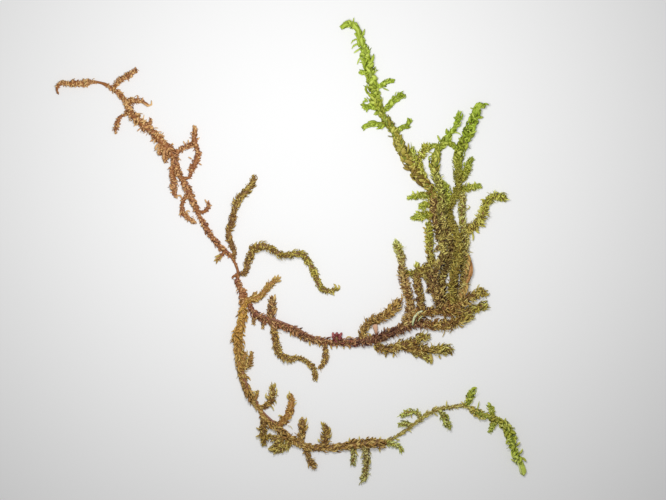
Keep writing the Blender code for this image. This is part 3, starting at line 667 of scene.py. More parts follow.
# Olive branches above the main fork: two long slender ones and a stout one, close set with short
# leaves that stand off the stem, brown at the base and yellow-olive towards the tip.
olive_leaves = leaf_finish(
    "olive_leaves",
    [(0.21, 0.09, 0.03), (0.385, 0.19, 0.048), (0.64, 0.42, 0.13)],
    [(0.28, 0.205, 0.032), (0.47, 0.38, 0.048), (0.73, 0.63, 0.17)])
ochre_leaves = leaf_finish(
    "ochre_leaves",
    [(0.48, 0.25, 0.048), (0.61, 0.34, 0.062), (0.76, 0.48, 0.125)],
    [(0.28, 0.14, 0.042), (0.46, 0.28, 0.068), (0.72, 0.53, 0.18)])
ochre_stem = stem_finish("ochre_stem", (0.30, 0.13, 0.035), (0.52, 0.28, 0.08))
brown_stem = stem_finish("brown_stem", (0.10, 0.045, 0.018), (0.30, 0.16, 0.05))
close_set = Habit(length=1.3, width=0.56, point=0.85, lean=0.8, bend=0.55, ragged=0.6, curl=1.9, crowd=21.0,
                  spikes=0.08)
olive_look = (olive_leaves, brown_stem, close_set)
dress("upright_branch", *olive_look, (0.0, 0.1, 0.2, 0.5, 0.4),
    [(-13.2, -1.6, .45), (-12.9, -.3, .6), (-13.5, 1.7, .65), (-14.3, 3.9, .7, .3), (-13.5, 6.6, .8, .6),
     (-12.9, 9.4, .75, .6), (-11.9, 12, .85, .3), (-10.1, 13.9, .85), (-8.8, 15.8, .75), (-8.4, 17.6, .5)])
dress("arched_branch", *olive_look, (0.1, 0.4, 0.7, 1.0, 1.0, 0.9),
    [(-12, -4.9, .45), (-10.5, -4.5, .75), (-10.1, -3, .75), (-9.4, -1, .8, .3), (-8.3, .9, .9, .6),
     (-6.6, 1.5, .85, .9), (-4.3, .6, .8, 1.1), (-2.2, -.6, .8, 1.1), (.2, -.4, .85, .9), (2, -.2, .8, .6),
     (3.4, -1.7, .8, .3), (4.7, -4, .8), (5.8, -6.4, .8), (7, -8.3, .8), (8.4, -8.7, .7),
     (10.5, -7.8, .45)])
dress("fork_branch", ochre_leaves, ochre_stem, close_set, (0.5, 0.7),
    [(-10.9, -10.6, .8), (-9.2, -10.6, .85), (-7.4, -10.1, .85), (-5.6, -8, .75), (-4.2, -6.6, .65),
     (-2.9, -5.7, .4)],
    [(-8.5, -10.3, .6), (-8.2, -8.6, .5)])
single_leaves("arched_branch_end_leaves", olive_leaves, 0.8,
    *blades((.25, .3, .15), (9.6, -8.3, 9.9, -7.6, 9.3, -7), (10, -8.3, 10.7, -7.9, 10.4, -7.2)),
    [(9.1, -8.7, .25), (9.5, -9.7, .12)])
single_leaves("old_twig_end_leaves", olive_leaves, 0.2,
    *blades((.25, .3, .15), (-15.8, -.4, -16.6, -.8, -17.4, -1), (-16.1, -1, -16.7, -1.7, -17, -2.6)),
    [(-15.8, -.7, .25), (-16, -1.3, .25), (-16.4, -1.9, .15)],
    [(-16.2, -.8, .2), (-16.9, -1.4, .25), (-17.6, -2, .12)])
single_leaves("fork_branch_end_leaves", ochre_leaves, 0.9,
    *blades((.3, .15), (-3.5, -6.3, -3, -4.9), (-3.4, -6.5, -2.3, -6.3), (-3.8, -6.2, -3.8, -5.1),
        (-3.2, -6.1, -2.4, -5.4)))

# Lower shoot: from the main fork down and round to the right, ochre and thick with pressed leaves at
# first, then olive, nearly bare, and lime where it grows on. Its twigs stand up from it.
golden_green_leaves = leaf_finish(
    "ochre_leaves",
    [(0.20, 0.085, 0.035), (0.45, 0.245, 0.07), (0.80, 0.60, 0.24)],
    [(0.32, 0.34, 0.05), (0.57, 0.60, 0.085), (0.86, 0.90, 0.33)], "green_edged")
mauve_strand = stem_finish("mauve_strand", (0.12, 0.04, 0.03), (0.40, 0.185, 0.10))
lime_leaves = leaf_finish(
    "lime_leaves",
    [(0.30, 0.22, 0.034), (0.49, 0.395, 0.052), (0.73, 0.66, 0.18)],
    [(0.33, 0.41, 0.035), (0.47, 0.56, 0.048), (0.74, 0.81, 0.2)])
# Its pale young end is the painted highlight streak along the bud's left edge; the bud keeps mostly to its
# old end
bud_and_highlight_leaves = leaf_finish(
    "lime_leaves",
    [(0.24, 0.30, 0.03), (0.47, 0.57, 0.042), (0.68, 0.78, 0.10)],
    [(0.50, 0.56, 0.14), (0.70, 0.76, 0.28), (0.84, 0.86, 0.45)], "closed")
green_stem = stem_finish("green_stem", (0.18, 0.22, 0.025), (0.36, 0.44, 0.06))
golden_stem = stem_finish("golden_stem", (0.20, 0.11, 0.03), (0.46, 0.34, 0.08))
olive_green_leaves = leaf_finish(
    "olive_leaves",
    [(0.14, 0.07, 0.02), (0.40, 0.27, 0.042), (0.78, 0.62, 0.15)],
    [(0.24, 0.22, 0.026), (0.59, 0.58, 0.05), (0.90, 0.92, 0.22)], "green_edged")
pressed = Habit(length=1.5, width=0.72, point=0.75, lean=0.5, bend=0.5, ragged=0.5, curl=2.0, twist=0.35,
                crowd=19.0, spikes=0.03, stem=0.85, bare=0.3)
sparse = Habit(length=1.3, width=0.6, point=0.9, lean=0.7, bend=0.4, ragged=0.7, curl=1.6, cup=1.0,
               crowd=19.0, spikes=0.2, stem=0.36)
worn = sparse._replace(bare=math.inf)
hollow = Habit(length=1.7, width=0.75, point=0.7, lean=0.7, bend=0.6, ragged=0.5, curl=2.4, cup=1.2,
               twist=0.3, crowd=17.0, spikes=0.06)
dress("lower_shoot_upper", ochre_leaves, ochre_stem, pressed, (0.0, 0.1, 0.5, 0.9, 0.9, 0.8),
    [(-10.8, -10.4, 1.1), (-11, -13.6, 1.05), (-11.5, -16.4, 1.2), (-12.1, -19.2, 1.25), (-12, -22, 1),
     (-11.8, -24.8, .95), (-11.3, -27.6, .8), (-10.4, -30.2, .8), (-9.1, -32.8, .85), (-7.4, -35, .65),
     (-6.2, -37, .65), (-4.4, -38.6, .75)],
    [(-11.5, -26.4, .7), (-9.8, -25, .85), (-9.1, -23.2, .5), (-9.1, -22, .3)],
    [(-11.4, -25.2, .8), (-10.7, -23.4, .8), (-10.9, -21.9, .45)],
    [(-11.2, -27.2, .5), (-9.8, -28.5, .35)],
    [(-8.6, -33.5, .55), (-7.9, -32, .45), (-7.8, -30.9, .35)],
    twigs=(0.9, 0.6), twig_habit=close_set)
twig_leaves = leaf_finish(
    "olive_leaves",
    [(0.27, 0.115, 0.037), (0.50, 0.27, 0.067), (0.78, 0.55, 0.17)],
    [(0.29, 0.2, 0.04), (0.52, 0.4, 0.07), (0.82, 0.72, 0.24)], "twig")
twig_look = (twig_leaves, brown_stem, close_set)
dress("lower_twig_inner", *twig_look, (0.0, 0.7),
    [(-7.4, -35, .5), (-5.8, -34.4, .7), (-4.7, -32.8, 1), (-4.3, -31.2, .9), (-4.2, -29.8, .45)])
dress("lower_twig_outer", *olive_look, (0.1, 0.7),
    [(-6.7, -36.6, .65), (-6.3, -38.6, .85), (-6.4, -40.6, 1.1), (-6.3, -42.4, .8), (-6, -43.8, .45)])
dress("lower_shoot_middle", ochre_leaves, brown_stem, pressed, (1.0, 0.8, 0.8, 1.0, 1.0, 1.0),
    [(-4.9, -38.2, .75), (-3.4, -39.3, .8), (-1.4, -41, .85), (1.6, -43, .85), (4.2, -43.8, .85),
     (7, -43.8, .85), (9.6, -43.8, .85), (13.8, -43.2, .9), (16.6, -42.9, 1.1), (19.2, -42.8, 1.2),
     (20.4, -42.9, .9), (21.4, -42.6, .45)],
    [(2, -43, .65), (2.4, -40.6, .7), (2.4, -38.8, .9), (2.5, -37.1, .4)],
    [(2.2, -41.8, .55), (1.1, -40.6, .45)],
    [(3, -43.6, .6), (3.6, -45.8, .7), (4.6, -47.4, .85), (5.4, -48.7, .55)],
    twigs=(1.0, 0.8), twig_habit=close_set)
orange_leaves = leaf_finish(
    "rust_leaves",
    [(0.34, 0.14, 0.035), (0.58, 0.3, 0.065), (0.82, 0.54, 0.16)],
    [(0.25, 0.11, 0.03), (0.42, 0.24, 0.052), (0.7, 0.5, 0.15)], "orange")
dress("orange_twig", orange_leaves, ochre_stem, close_set, (0.7, 0.4, 0.1, 0.6),
    [(-3.6, -39.2, .6), (-1.8, -38, .85), (-.8, -36.4, .9), (-.3, -34.6, .85), (-.1, -33, .7),
     (-.4, -31.5, .35)],
    [(-2, -38.2, .5), (-2.5, -36.5, .4)])
dress("lower_clump", *twig_look, (0.2, 0.8),
    [(-1.2, -41.2, .7), (-3.4, -41.9, .85), (-5, -41.4, .65), (-5.5, -40.7, .4)],
    [(-2, -41.7, .7), (-3.1, -43.1, .9), (-4.4, -44.2, .6)],
    [(-.6, -42, .6), (-1.2, -43.5, .75), (-3.4, -44.4, .75), (-5.4, -43.9, .4)])
dress("broad_twig", *olive_look, (0.1, 0.6),
    [(7.2, -43.6, 1.4), (7.5, -42, 1.15), (7.7, -40.4, .95), (7.1, -38.3, .5)])
muted_leaves = leaf_finish(
    "olive_leaves",
    [(0.26, 0.17, 0.055), (0.46, 0.34, 0.115), (0.70, 0.58, 0.25)],
    [(0.36, 0.33, 0.09), (0.56, 0.53, 0.15), (0.74, 0.73, 0.30)], "muted")
dress("hanging_twig", muted_leaves, brown_stem, close_set, (0.3, 1.0),
    [(16.2, -43, .75), (16.7, -45.4, .9), (16.6, -48.2, .8), (16.3, -50.3, .75), (15.3, -51.5, .5)],
    [(13.5, -43.4, .6), (13.7, -45, .6), (13.8, -46.6, .7), (13.6, -48, .5)])
dress("lower_shoot_bare", golden_green_leaves, golden_stem, sparse, (0.3, 0.5, 0.5, 0.4, 0.6),
    [(20.6, -42.8, .5), (23, -41.6, .4), (26, -39.7, .4, .3), (28.4, -37.8, .45, .6),
     (30.6, -36.2, .45, .6), (33.2, -35.1, .5, .3), (35.8, -34.8, .5), (38.8, -34.5, .5),
     (40.8, -35.4, .6)],
    [(21.2, -42.7, .55), (23.2, -43.2, .75), (24.4, -44, .65), (24.9, -45.1, .4)],
    [(27.2, -38.8, .45), (25.4, -38.5, .6), (23.7, -38.8, .4)],
    [(28.8, -37.4, .4, .4), (28.3, -36.1, .5, .2), (27, -35.9, .65), (25.4, -36.1, .65), (24.3, -37.1, .4)],
    [(33, -35.2, .5, .3), (34.2, -37, .75), (35, -38.6, .85), (35.5, -39.7, .5)],
    twigs=(0.8, 1.0), twig_habit=close_set)
dress("lower_shoot_tip", lime_leaves, green_stem, hollow, (0.0, 0.2, 0.6, 0.9, 1.0),
    [(39.9, -34.9, .55), (42, -36.2, .8), (44.4, -36.9, .9), (46.4, -37.9, .95), (48.4, -39.5, 1.05),
     (49.2, -41.8, 1.1), (49.8, -44.2, 1.1), (50.7, -46.5, .95), (51.2, -47.6, .6)],
    [(45, -37, .55), (44.8, -35.2, .65), (43.9, -33.8, .45)],
    [(45.8, -37.8, .55), (44.9, -39.3, .65), (44.3, -40.6, .4)],
    [(39.3, -34.6, .5), (39.8, -33, .8), (40.3, -31.8, 1), (40.7, -30.9, 1)],
    twigs=(0.5, 1.0))
join_stems("lower_shoot_bare_strand", mauve_strand, worn,
    [(-11.2, -26.4, .3, .6), (-10.8, -28.2, .38, .65), (-9.8, -30.6, .36, .6), (-8.5, -33, .36, .6),
     (-7.2, -34.6, .3, .4)],
    [(-6.7, -35.6, .24, .5), (-5.2, -37.1, .28, .6), (-3.5, -38.6, .28, .65), (-1.8, -39.9, .28, .6),
     (.2, -41.6, .24, .5)],
    seed=5)
single_leaves("bare_stretch_single_leaves", golden_green_leaves, 0.4,
    *blades((.2, .12), (34.6, -34.7, 34.8, -33.2), (32.2, -35.3, 32.4, -34.3), (30, -36.4, 30.3, -35.4)),
    [(25.4, -39.9, .2), (26.4, -39.9, .2), (26.9, -40.5, .12)],
    *blades((.25, .15), (28.2, -38.1, 29.5, -37.9), (31.9, -36, 32.8, -36.7), (19.6, -43.7, 19.8, -44.9),
        (19.5, -42.2, 20, -41.3), (18.6, -42.4, 18.9, -41.5), (23.3, -41.9, 24.3, -42.1)),
    *blades((.2, .12), (25.3, -36.3, 24.6, -37.3), (26.7, -36.2, 26.9, -37.2)),
    [(39.5, -33.4, .25), (39, -32.4, .15)], [(38.7, -34.1, .2), (37.9, -33.4, .12)],
    [(14.6, -43.7, .25), (14.3, -44.6, .2), (15, -45.8, .12)],
    *blades((.25, .15), (12.8, -42.8, 13, -41.5), (15.2, -42.5, 15.1, -41.2)))
single_leaves("lime_tip_single_leaves", lime_leaves, 0.6,
    [(41.6, -35.5, .18), (41.8, -34.4, .16), (42.1, -33.3, .08)],
    *blades((.25, .15), (46.4, -37.6, 46.6, -36.8), (47.7, -38.2, 48, -37.1)),
    [(49, -39.6, .4), (50.1, -40.9, .3)],
    *blades((.35, .2), (49.6, -42.1, 50.8, -41.5), (50.2, -43.5, 51.3, -42.5)),
    [(50.7, -45.3, .35), (51.4, -44.8, .25), (51.8, -44, .15)],
    [(51.3, -46, .35), (52.2, -46.4, .3), (52.6, -47, .15)], [(50, -46.9, .25), (49.1, -46.3, .15)],
    lift=0.7)
single_leaves("lime_tip_closed_bud", bud_and_highlight_leaves, 0.2,
    [(50.9, -46.2, .9, .2), (51.4, -47.5, 1.05, .1), (51.8, -48.8, 1.1), (52.1, -50.2, 1)],
    [(51.5, -46.6, .5, .7), (51.9, -47.8, .6, .7), (52.2, -48.8, .6, .6), (52.5, -49.7, .5, .3)],
    lift=0.1, cup=-1.5, point=0.2, across=5)
# A pale strip lifted along the bud's left edge: a painted highlight streak
single_leaves("lime_tip_bud_edge", bud_and_highlight_leaves, 1.0,
    [(50.4, -46.4, .2, .4), (50.8, -47.6, .22, .5), (51.2, -48.8, .22, .5), (51.5, -49.8, .2, .3)],
    lift=1.0, point=0.4)
single_leaves("lower_shoot_single_leaves", twig_leaves, 0.8,
    *blades((.2, .2, .1), (-3.9, -31.4, -4.1, -30.4, -4.3, -29.3), (-4.1, -32.4, -3.4, -31.5, -3.5, -30.2),
        (-4.8, -31.6, -4.8, -30.7, -5.2, -30), (-4.4, -33.3, -3.7, -33.3, -3.5, -34.1),
        (-5, -34.3, -4.4, -34.7, -4, -35.6), (-5.4, -33, -5.9, -32.4, -5.7, -31.4)),
    *blades((.2, .1), (-7.8, -32, -7.5, -30.8), (-8, -32, -8.4, -31)),
    *blades((.2, .2, .1), (-.2, -32.8, -.5, -31.9, -.6, -31), (-.7, -33, -1.1, -32.3, -.7, -31.6),
        (.1, -34, .7, -34, 1.1, -33.6), (-2.2, -37.3, -2.7, -36.5, -3.2, -36.8)),
    *blades((.25, .15), (-7, -39.9, -8.1, -39.3), (-7.1, -41, -8.2, -41.4)),
    [(-1, -38.9, .08), (-.4, -39, .08), (.2, -39.7, .06)],
    *blades((.25, .12), (2, -38.5, 1.5, -37.6), (2.8, -38.5, 3.4, -37.3), (3.1, -39.6, 3.6, -38.8)),
    *blades((.3, .15), (7.1, -39.2, 6.5, -37.9), (8.1, -40.2, 8.8, -39.5), (8.3, -41.8, 8.9, -41)),
    *blades((.25, .12), (6.2, -42.6, 5.8, -41.8), (16.7, -42.2, 16.9, -41.4)))

# Middle stem: the dark red-brown axis from the main fork to the tuft, with a crimson bud on it and two
# thin branches that hang below it and touch at their ends.
red_brown_leaves = leaf_finish(
    "red_brown_leaves",
    [(0.15, 0.045, 0.035), (0.38, 0.125, 0.066), (0.74, 0.41, 0.19)],
    [(0.17, 0.09, 0.035), (0.40, 0.26, 0.067), (0.73, 0.55, 0.19)])
golden_leaves = leaf_finish(
    "red_brown_leaves",
    [(0.3, 0.14, 0.045), (0.5, 0.28, 0.07), (0.75, 0.52, 0.17)],
    [(0.26, 0.17, 0.04), (0.46, 0.36, 0.06), (0.72, 0.6, 0.18)], "golden")
crimson_bud = leaf_finish(
    "crimson_bud",
    [(0.09, 0.014, 0.016), (0.21, 0.035, 0.035), (0.45, 0.14, 0.13)],
    [(0.10, 0.014, 0.018), (0.26, 0.04, 0.042), (0.52, 0.17, 0.165)])
dress("middle_stem", red_brown_leaves, brown_stem, close_set, (0.0, 0.2, 0.15, 0.4, 0.2, 0.1),
    [(-9.5, -10.8, .5), (-9.2, -12.7, .65), (-8.2, -13.9, .8), (-6.2, -14.9, .85), (-3.8, -15.9, .95),
     (-1.4, -16.8, .9), (1, -17.8, .95), (3.4, -19.1, .9), (5.8, -19.8, .75), (8.2, -20.1, .75),
     (11.8, -20.3, .85), (14.4, -20.2, .9)],
    [(-4.7, -15.4, .7), (-4.6, -13.4, .95), (-4.3, -11.4, 1), (-4.6, -9.6, .5)],
    [(-8.6, -14, .5), (-8.6, -16.5, .35)],
    [(-6.4, -15.2, .5), (-6.5, -17.3, .35)],
    twigs=(0.5, 0.65), twig_habit=pressed)
dress("red_bud", crimson_bud, brown_stem, close_set, (0.2, 0.9),
    [(10, -20.3, .8), (10, -19.2, 1, .2), (10.1, -18, .6, .4)])
dress("middle_branch_long", *twig_look, (0.1, 0.5, 0.5, 0.4),
    [(-4.4, -16, .7), (-4, -17.8, .8), (-3.4, -20.6, .9), (-2.6, -23, .9), (-.6, -24, .85),
     (1.6, -23.7, .6), (3.4, -24.6, .55), (5, -26.4, .7), (5.4, -29, .5)])
dress("middle_branch_short", *twig_look, (0.1, 0.3, 0.1),
    [(7.1, -20.2, .6), (7.6, -22.4, .65), (7.4, -24.2, .7), (6, -26.4, .45)])
join_stems("middle_stem_bare_strand", mauve_strand, worn,
    [(-9.4, -12.4, .28, .6), (-7.2, -14.1, .32, .7), (-4.2, -15, .32, .75), (-1.2, -16.1, .32, .8),
     (1.3, -17.1, .3, .8), (3.1, -18.2, .28, .75), (5.3, -19.1, .28, .55), (7.1, -19.6, .3, .45),
     (8.8, -19.9, .26, .3)],
    [(10.8, -20.1, .26, .4), (12.6, -19.9, .3, .6), (14.6, -19.8, .32, .8), (16.4, -19.6, .3, .9),
     (17.8, -19.4, .26, .8)],
    seed=3)
single_leaves("middle_stem_single_leaves", golden_leaves, 0.3,
    *blades((.25, .15), (-.3, -17.6, -.3, -18.9), (1.8, -18.4, 2, -19.9)),
    [(3.9, -19.8, .3), (4.1, -21, .15)],
    *blades((.25, .15), (6.2, -20.3, 6.2, -21.3), (8.6, -20.6, 9, -21.8), (10.2, -20.6, 10, -21.6),
        (11.6, -20.8, 11.7, -21.7), (12.9, -20.8, 13, -21.7)),
    [(12.1, -19.6, .2), (12.4, -19, .2), (13, -18.9, .2), (13.6, -19.4, .12)])
single_leaves("red_bud_outer_leaves", crimson_bud, 0.6,
    [(9.5, -19.8, .35), (9.3, -18.7, .4), (9.2, -17.8, .2)],
    [(10.1, -19.8, .4), (10.1, -18.7, .45), (10.1, -17.8, .2)],
    [(10.7, -19.8, .35), (10.8, -18.7, .4), (11.3, -17.9, .2)],
    lift=0.9, point=0.4)

# Tuft: the axis thickens and fans into crowded branches, shaggy with long sickle leaves, dark below
# and olive towards their tips. They lie in layers on each other.
shaggy = Habit(length=1.25, width=0.42, point=0.85, lean=0.75, bend=0.6, ragged=0.8, curl=2.4, crowd=33.0,
               spikes=0.09, stem=0.5)
dark_olive_leaves = leaf_finish(
    "dark_olive_leaves",
    [(0.07, 0.03, 0.017), (0.27, 0.135, 0.045), (0.80, 0.58, 0.19)],
    [(0.07, 0.065, 0.014), (0.32, 0.31, 0.035), (0.92, 0.94, 0.24)])
dark_olive_look = (dark_olive_leaves, brown_stem, shaggy)
sickle = Habit(length=1.6, width=0.47, point=0.9, lean=0.7, bend=0.6, ragged=0.7, curl=2.1, crowd=26.0,
               spikes=0.12)
shaded_leaves = leaf_finish(
    "olive_leaves",
    [(0.13, 0.055, 0.024), (0.30, 0.16, 0.045), (0.62, 0.44, 0.13)],
    [(0.26, 0.24, 0.024), (0.52, 0.51, 0.045), (0.82, 0.84, 0.18)], "shaded")
dark_stem_leaves = leaf_finish(
    "red_brown_leaves",
    [(0.09, 0.03, 0.026), (0.245, 0.09, 0.052), (0.58, 0.33, 0.15)],
    [(0.10, 0.04, 0.026), (0.30, 0.15, 0.06), (0.67, 0.46, 0.17)], "dark")
branch_leaves = leaf_finish(
    "olive_leaves",
    [(0.20, 0.085, 0.03), (0.385, 0.195, 0.048), (0.66, 0.44, 0.135)],
    [(0.27, 0.21, 0.035), (0.60, 0.53, 0.06), (0.88, 0.86, 0.26)], "branch")
branch_look = (branch_leaves, brown_stem, sickle)
dress("tuft_stem", dark_stem_leaves, brown_stem, shaggy, (0.0, 0.1, 0.3, 0.3),
    [(13.4, -20.2, .9), (16, -20, 1), (18.2, -19.7, 1.15), (20.2, -18.9, 1.4), (22.2, -18, 1.6),
     (24.4, -17.2, 1.5), (26.6, -16.3, 1.3), (28.8, -16, 1.15), (30.4, -16, 1.1)])
dress("tuft_branch_low_right", *branch_look, (0.0, 0.1, 0.3, 0.9),
    [(29.4, -16.1, 1.2), (31.4, -16.2, 1.1), (33.6, -16.3, 1.2), (35.6, -16, 1.2), (37.4, -15.4, 1.2),
     (39.4, -14.7, 1), (41.3, -14.3, .6)])
dress("tuft_branch_right", *branch_look, (0.0, 0.1, 0.1, 0.6, 1.0),
    [(26.6, -15, 1.3, .3), (28.8, -13.7, 1.25, .3), (31, -13.2, 1.1), (33, -13.2, 1.1), (35, -13.4, 1.1),
     (37, -13.5, 1.1), (39, -13.3, 1), (41.4, -12.5, 1), (43, -12, 1), (44.2, -12.1, .5)])
dress("tuft_branch_upper_right", *branch_look, (0.0, 0.2, 0.7),
    [(33.6, -12.6, 1, 1.2), (35.8, -11.9, 1.15, .9), (38, -11.2, 1.25, .5), (40, -10.1, 1.3, .2),
     (41.5, -9.3, 1.25), (42.8, -8.9, 1.15), (44, -9.3, .5)])
dress("tuft_lower_branch", *branch_look, (0.2, 0.2, 0.3, 0.7),
    [(18.8, -20, .7), (19.9, -21.4, .9), (21.1, -21.8, 1.1), (22.6, -21.5, 1.2), (24.6, -20.8, 1.15),
     (26.6, -20.2, 1.05), (28.6, -19.4, 1), (30, -18.9, 1.05), (31.2, -18.8, .5)])
dress("tuft_lowest_branch", *branch_look, (0.1, 0.2, 0.5, 0.8),
    [(24.2, -21, .7), (25.8, -21.4, .8), (27.5, -21.6, 1), (29.3, -21.7, 1.15), (31, -21.9, 1.1),
     (33, -21.8, 1.1), (35, -21.7, 1.05), (36.4, -22, .5)],
    [(26.6, -22, .7), (28.6, -22.9, .8), (30.2, -23.5, .8), (31.4, -25, .35)])
dress("tuft_arch", ochre_leaves, brown_stem, sickle, (0.9, 1.0, 0.7, 0.6),
    [(15.5, -19.8, .8), (16, -17.8, .95), (17, -16.1, 1.05), (18.5, -15.1, 1.1), (20.2, -14.6, 1.15),
     (21.8, -13.6, 1.25), (23, -12.4, 1.25), (23.9, -11.2, 1.15), (24.1, -10.3, .7)])
dress("tuft_left_leader", golden_green_leaves, brown_stem, shaggy, (0.0, 0.0, 0.0, 0.3, 1.0),
    [(24.8, -16.8, 1.2, .6), (26.2, -14.6, 1.3, .4), (26.6, -12.6, 1.25), (26.4, -10.4, 1.2),
     (25.8, -8.4, 1.3), (25.1, -6.4, 1.2), (24.8, -4.6, 1.15), (24.7, -3, .85), (24.5, -1, .9),
     (24, .6, 1.1), (23.5, 1.7, 1.05), (22.9, 2.5, .45)])
dress("tuft_left_column", shaded_leaves, brown_stem, shaggy, (0.0, 0.0, 0.0, 0.3, 0.7, 1.0),
    [(27.9, -15, 1.2, .8), (28.8, -13, 1.1, .3), (29, -11.2, 1.05), (28.7, -9.2, 1.05), (28.3, -7.4, 1.1),
     (28.2, -5.6, 1.1), (29.2, -4.2, 1.1), (30.7, -3.3, 1.1), (31.4, -1.9, 1), (31.1, -.2, 1),
     (31, 1.6, .95), (30.9, 3.2, .95), (30.8, 5, .95), (30.6, 7, .6)],
    [(28.4, -5, .8), (28.2, -3.5, .8), (28.3, -2.2, .4)],
    [(28.6, -5, .85), (26.8, -4.7, .8), (25.4, -4.8, .7)])
dress("tuft_column_green", *dark_olive_look, (0.0, 0.0, 0.3, 0.4, 0.0, 0.0),
    [(33.2, -12.6, 1.1, 1), (32.6, -10.4, 1.15, 1.5), (31.9, -8, 1.15, 1.5), (31.7, -5.6, 1.15, 1.5),
     (32.4, -3.2, 1.1, 1.5), (33.8, -1.3, 1.1, 1.1), (34.1, .8, 1.1, .6), (33.7, 2.8, 1.1, .2),
     (32.9, 4.8, 1.15), (32.2, 6.8, 1.15), (31.9, 9, 1.15), (31.9, 11.2, 1.15), (31.7, 13.4, 1.25)],
    [(33.4, 3.9, .4, .2), (32.7, 3.3, .6, .2), (32.3, 2.7, .5, .2)],
    [(33.7, 1.8, .4, .2), (32.8, 1, .55, .2), (32, .7, .4, .2)],
    [(31.2, -3.8, .5, .3), (30.4, -4.6, .75, .3), (30.2, -5.5, .75, .3), (30.7, -6.5, .65, .3),
     (31, -7.5, .55, .3), (30.7, -8.6, .65, .3), (30.4, -9.3, .5, .3)])
dress("tuft_column_olive", *dark_olive_look, (0.1, 0.3, 0.3, 0.4, 0.8, 1.0),
    [(34.6, -12.2, 1.1, .2), (34, -9.8, 1.15), (33.6, -7.4, 1.15), (33.9, -5, 1.1), (34.9, -3, 1.1),
     (35.7, -1, 1.1), (35.9, 1, 1.1), (35.4, 3, 1.05, .4), (34.5, 5, 1.05, 1.2), (33.7, 7, 1.05, 1.7),
     (33.5, 9.2, 1.05, 1.7), (33.6, 11.2, 1.05, 1.6), (33.4, 13.2, 1.05, 1.5), (33, 15, 1.05, 1.1),
     (32.4, 16.9, 1.1, .4), (32, 18.6, 1.05)])
dress("tuft_right_column", golden_green_leaves, brown_stem, shaggy, (0.15, 0.3, 0.45, 0.5, 0.7, 0.5),
    [(36.6, -11.2, 1, .2), (37.8, -9.2, 1.15), (38.6, -7.2, 1.2), (38.9, -5, 1.15), (38.7, -3, 1.05),
     (38.7, -1, 1.1), (38.8, 1, 1.15), (38.8, 3, 1.15), (38.6, 5, 1.1), (38.4, 7, .9), (38.2, 9, .85),
     (38.3, 10.8, .85), (38.3, 12.4, .85), (38, 13.8, .8)])
dress("tuft_inner_shoot", *dark_olive_look, (0.0, 0.0, 0.4),
    [(35.8, -10.8, 1), (36.1, -8.6, 1.05), (36.4, -6.4, 1.05), (36.6, -4.2, 1), (36.9, -2.4, .8),
     (37.1, -.8, .6)])
single_leaves("tuft_single_leaves", olive_leaves, 0.5,
    [(31.1, -22.6, .45), (31.3, -23.9, .4), (31.4, -25.2, .2)], [(29.4, -23.2, .35), (30.6, -24.7, .2)],
    *blades((.3, .15), (33, -23.1, 33.4, -23.9), (34.6, -22.6, 34.5, -23.4), (35.6, -22.2, 36, -23.2),
        (28.2, -22.4, 27.9, -23.4)),
    [(34.4, -17.4, .12), (34.1, -18.4, .12), (33.7, -19.1, .06)], [(36.1, -17.2, .12), (35.4, -18.2, .06)],
    *blades((.25, .15), (30.2, 5.2, 29.3, 5.7), (30.3, 4.2, 29.5, 4.6), (30.4, 3.1, 29.7, 3.7),
        (30.5, 1.9, 29.7, 2.6), (30.5, .9, 29.7, 1.6), (30.6, -.4, 29.8, .4)),
    *blades((.3, .15), (17.8, -19, 17.4, -18.1), (18.4, -20.8, 18.7, -21.7), (21.2, -22.6, 21, -23.6),
        (22.9, -22.6, 22.7, -23.6)))
single_leaves("tuft_orange_edge_leaves", orange_leaves, 0.9,
    *blades((.25, .3, .15), (39.3, -.6, 39.8, -1.2, 40, -2), (39.2, -1.7, 39.7, -2.3, 39.8, -3.1),
        (38.9, -2.5, 39.4, -3.2, 39.5, -4.1), (38.7, -3.6, 39.1, -4.3, 39.1, -5.2),
        (39, -6.8, 39.3, -7.6, 39.2, -8.5), (38.6, -7.6, 39.1, -8.4, 39, -9.3),
        (38.2, -8.4, 38.7, -9.2, 38.6, -10.1), (37.6, -9, 38, -9.8, 37.8, -10.7),
        (37.4, -11.2, 38, -11.6, 38.4, -12.3), (36.9, -11.8, 37.5, -12.2, 37.8, -12.9),
        (36.2, -11.5, 36.7, -12.2, 36.7, -13)),
    lift=1.8)

# Loose bits caught in the tuft: a pale green blade, a dry orange-brown blade along its right edge and
# a pinkish scrap at the foot of its stem, none of them grown from it.
pale_blade = leaf_finish(
    "lime_leaves",
    [(0.33, 0.38, 0.12), (0.50, 0.56, 0.22), (0.70, 0.75, 0.42)],
    [(0.42, 0.46, 0.22), (0.62, 0.66, 0.38), (0.80, 0.82, 0.60)], "pale_blade")
dry_blade = leaf_finish(
    "rust_leaves",
    [(0.30, 0.12, 0.035), (0.48, 0.23, 0.065), (0.66, 0.40, 0.16)],
    [(0.36, 0.16, 0.09), (0.50, 0.26, 0.15), (0.64, 0.40, 0.26)], "dry_blade")
single_leaves("pale_green_blade", pale_blade, 0.3,
    [(27, -16.3, .2), (27.2, -15, .3), (27.9, -13.8, .3), (29.5, -12.9, .15)],
    [(28.2, -15.4, .08), (28.6, -14.7, .12), (29.4, -14.1, .08)],
    lift=2.4, cup=0.6, point=0.5)
single_leaves("dry_orange_blade", dry_blade, 0.1,
    [(39.6, -.6, .2), (40.1, -2.6, .38), (40, -4.7, .42), (39.3, -6.6, .38), (38.4, -8, .2)],
    [(40.3, -2.2, .12, .3), (40.45, -3.8, .18, .4), (40.2, -5.6, .15, .3)],
    [(39.3, -6, .25), (38.7, -7.6, .3), (37.7, -9.2, .25), (37, -10.4, .15)],
    lift=1.2, cup=0.6, point=0.4)
single_leaves("pinkish_scrap", dry_blade, 1.0,
    [(18.9, -18.3, .4), (18.8, -17.2, .65), (18.5, -16, .6)],
    lift=0.9, cup=0.5, point=0.1, across=4)

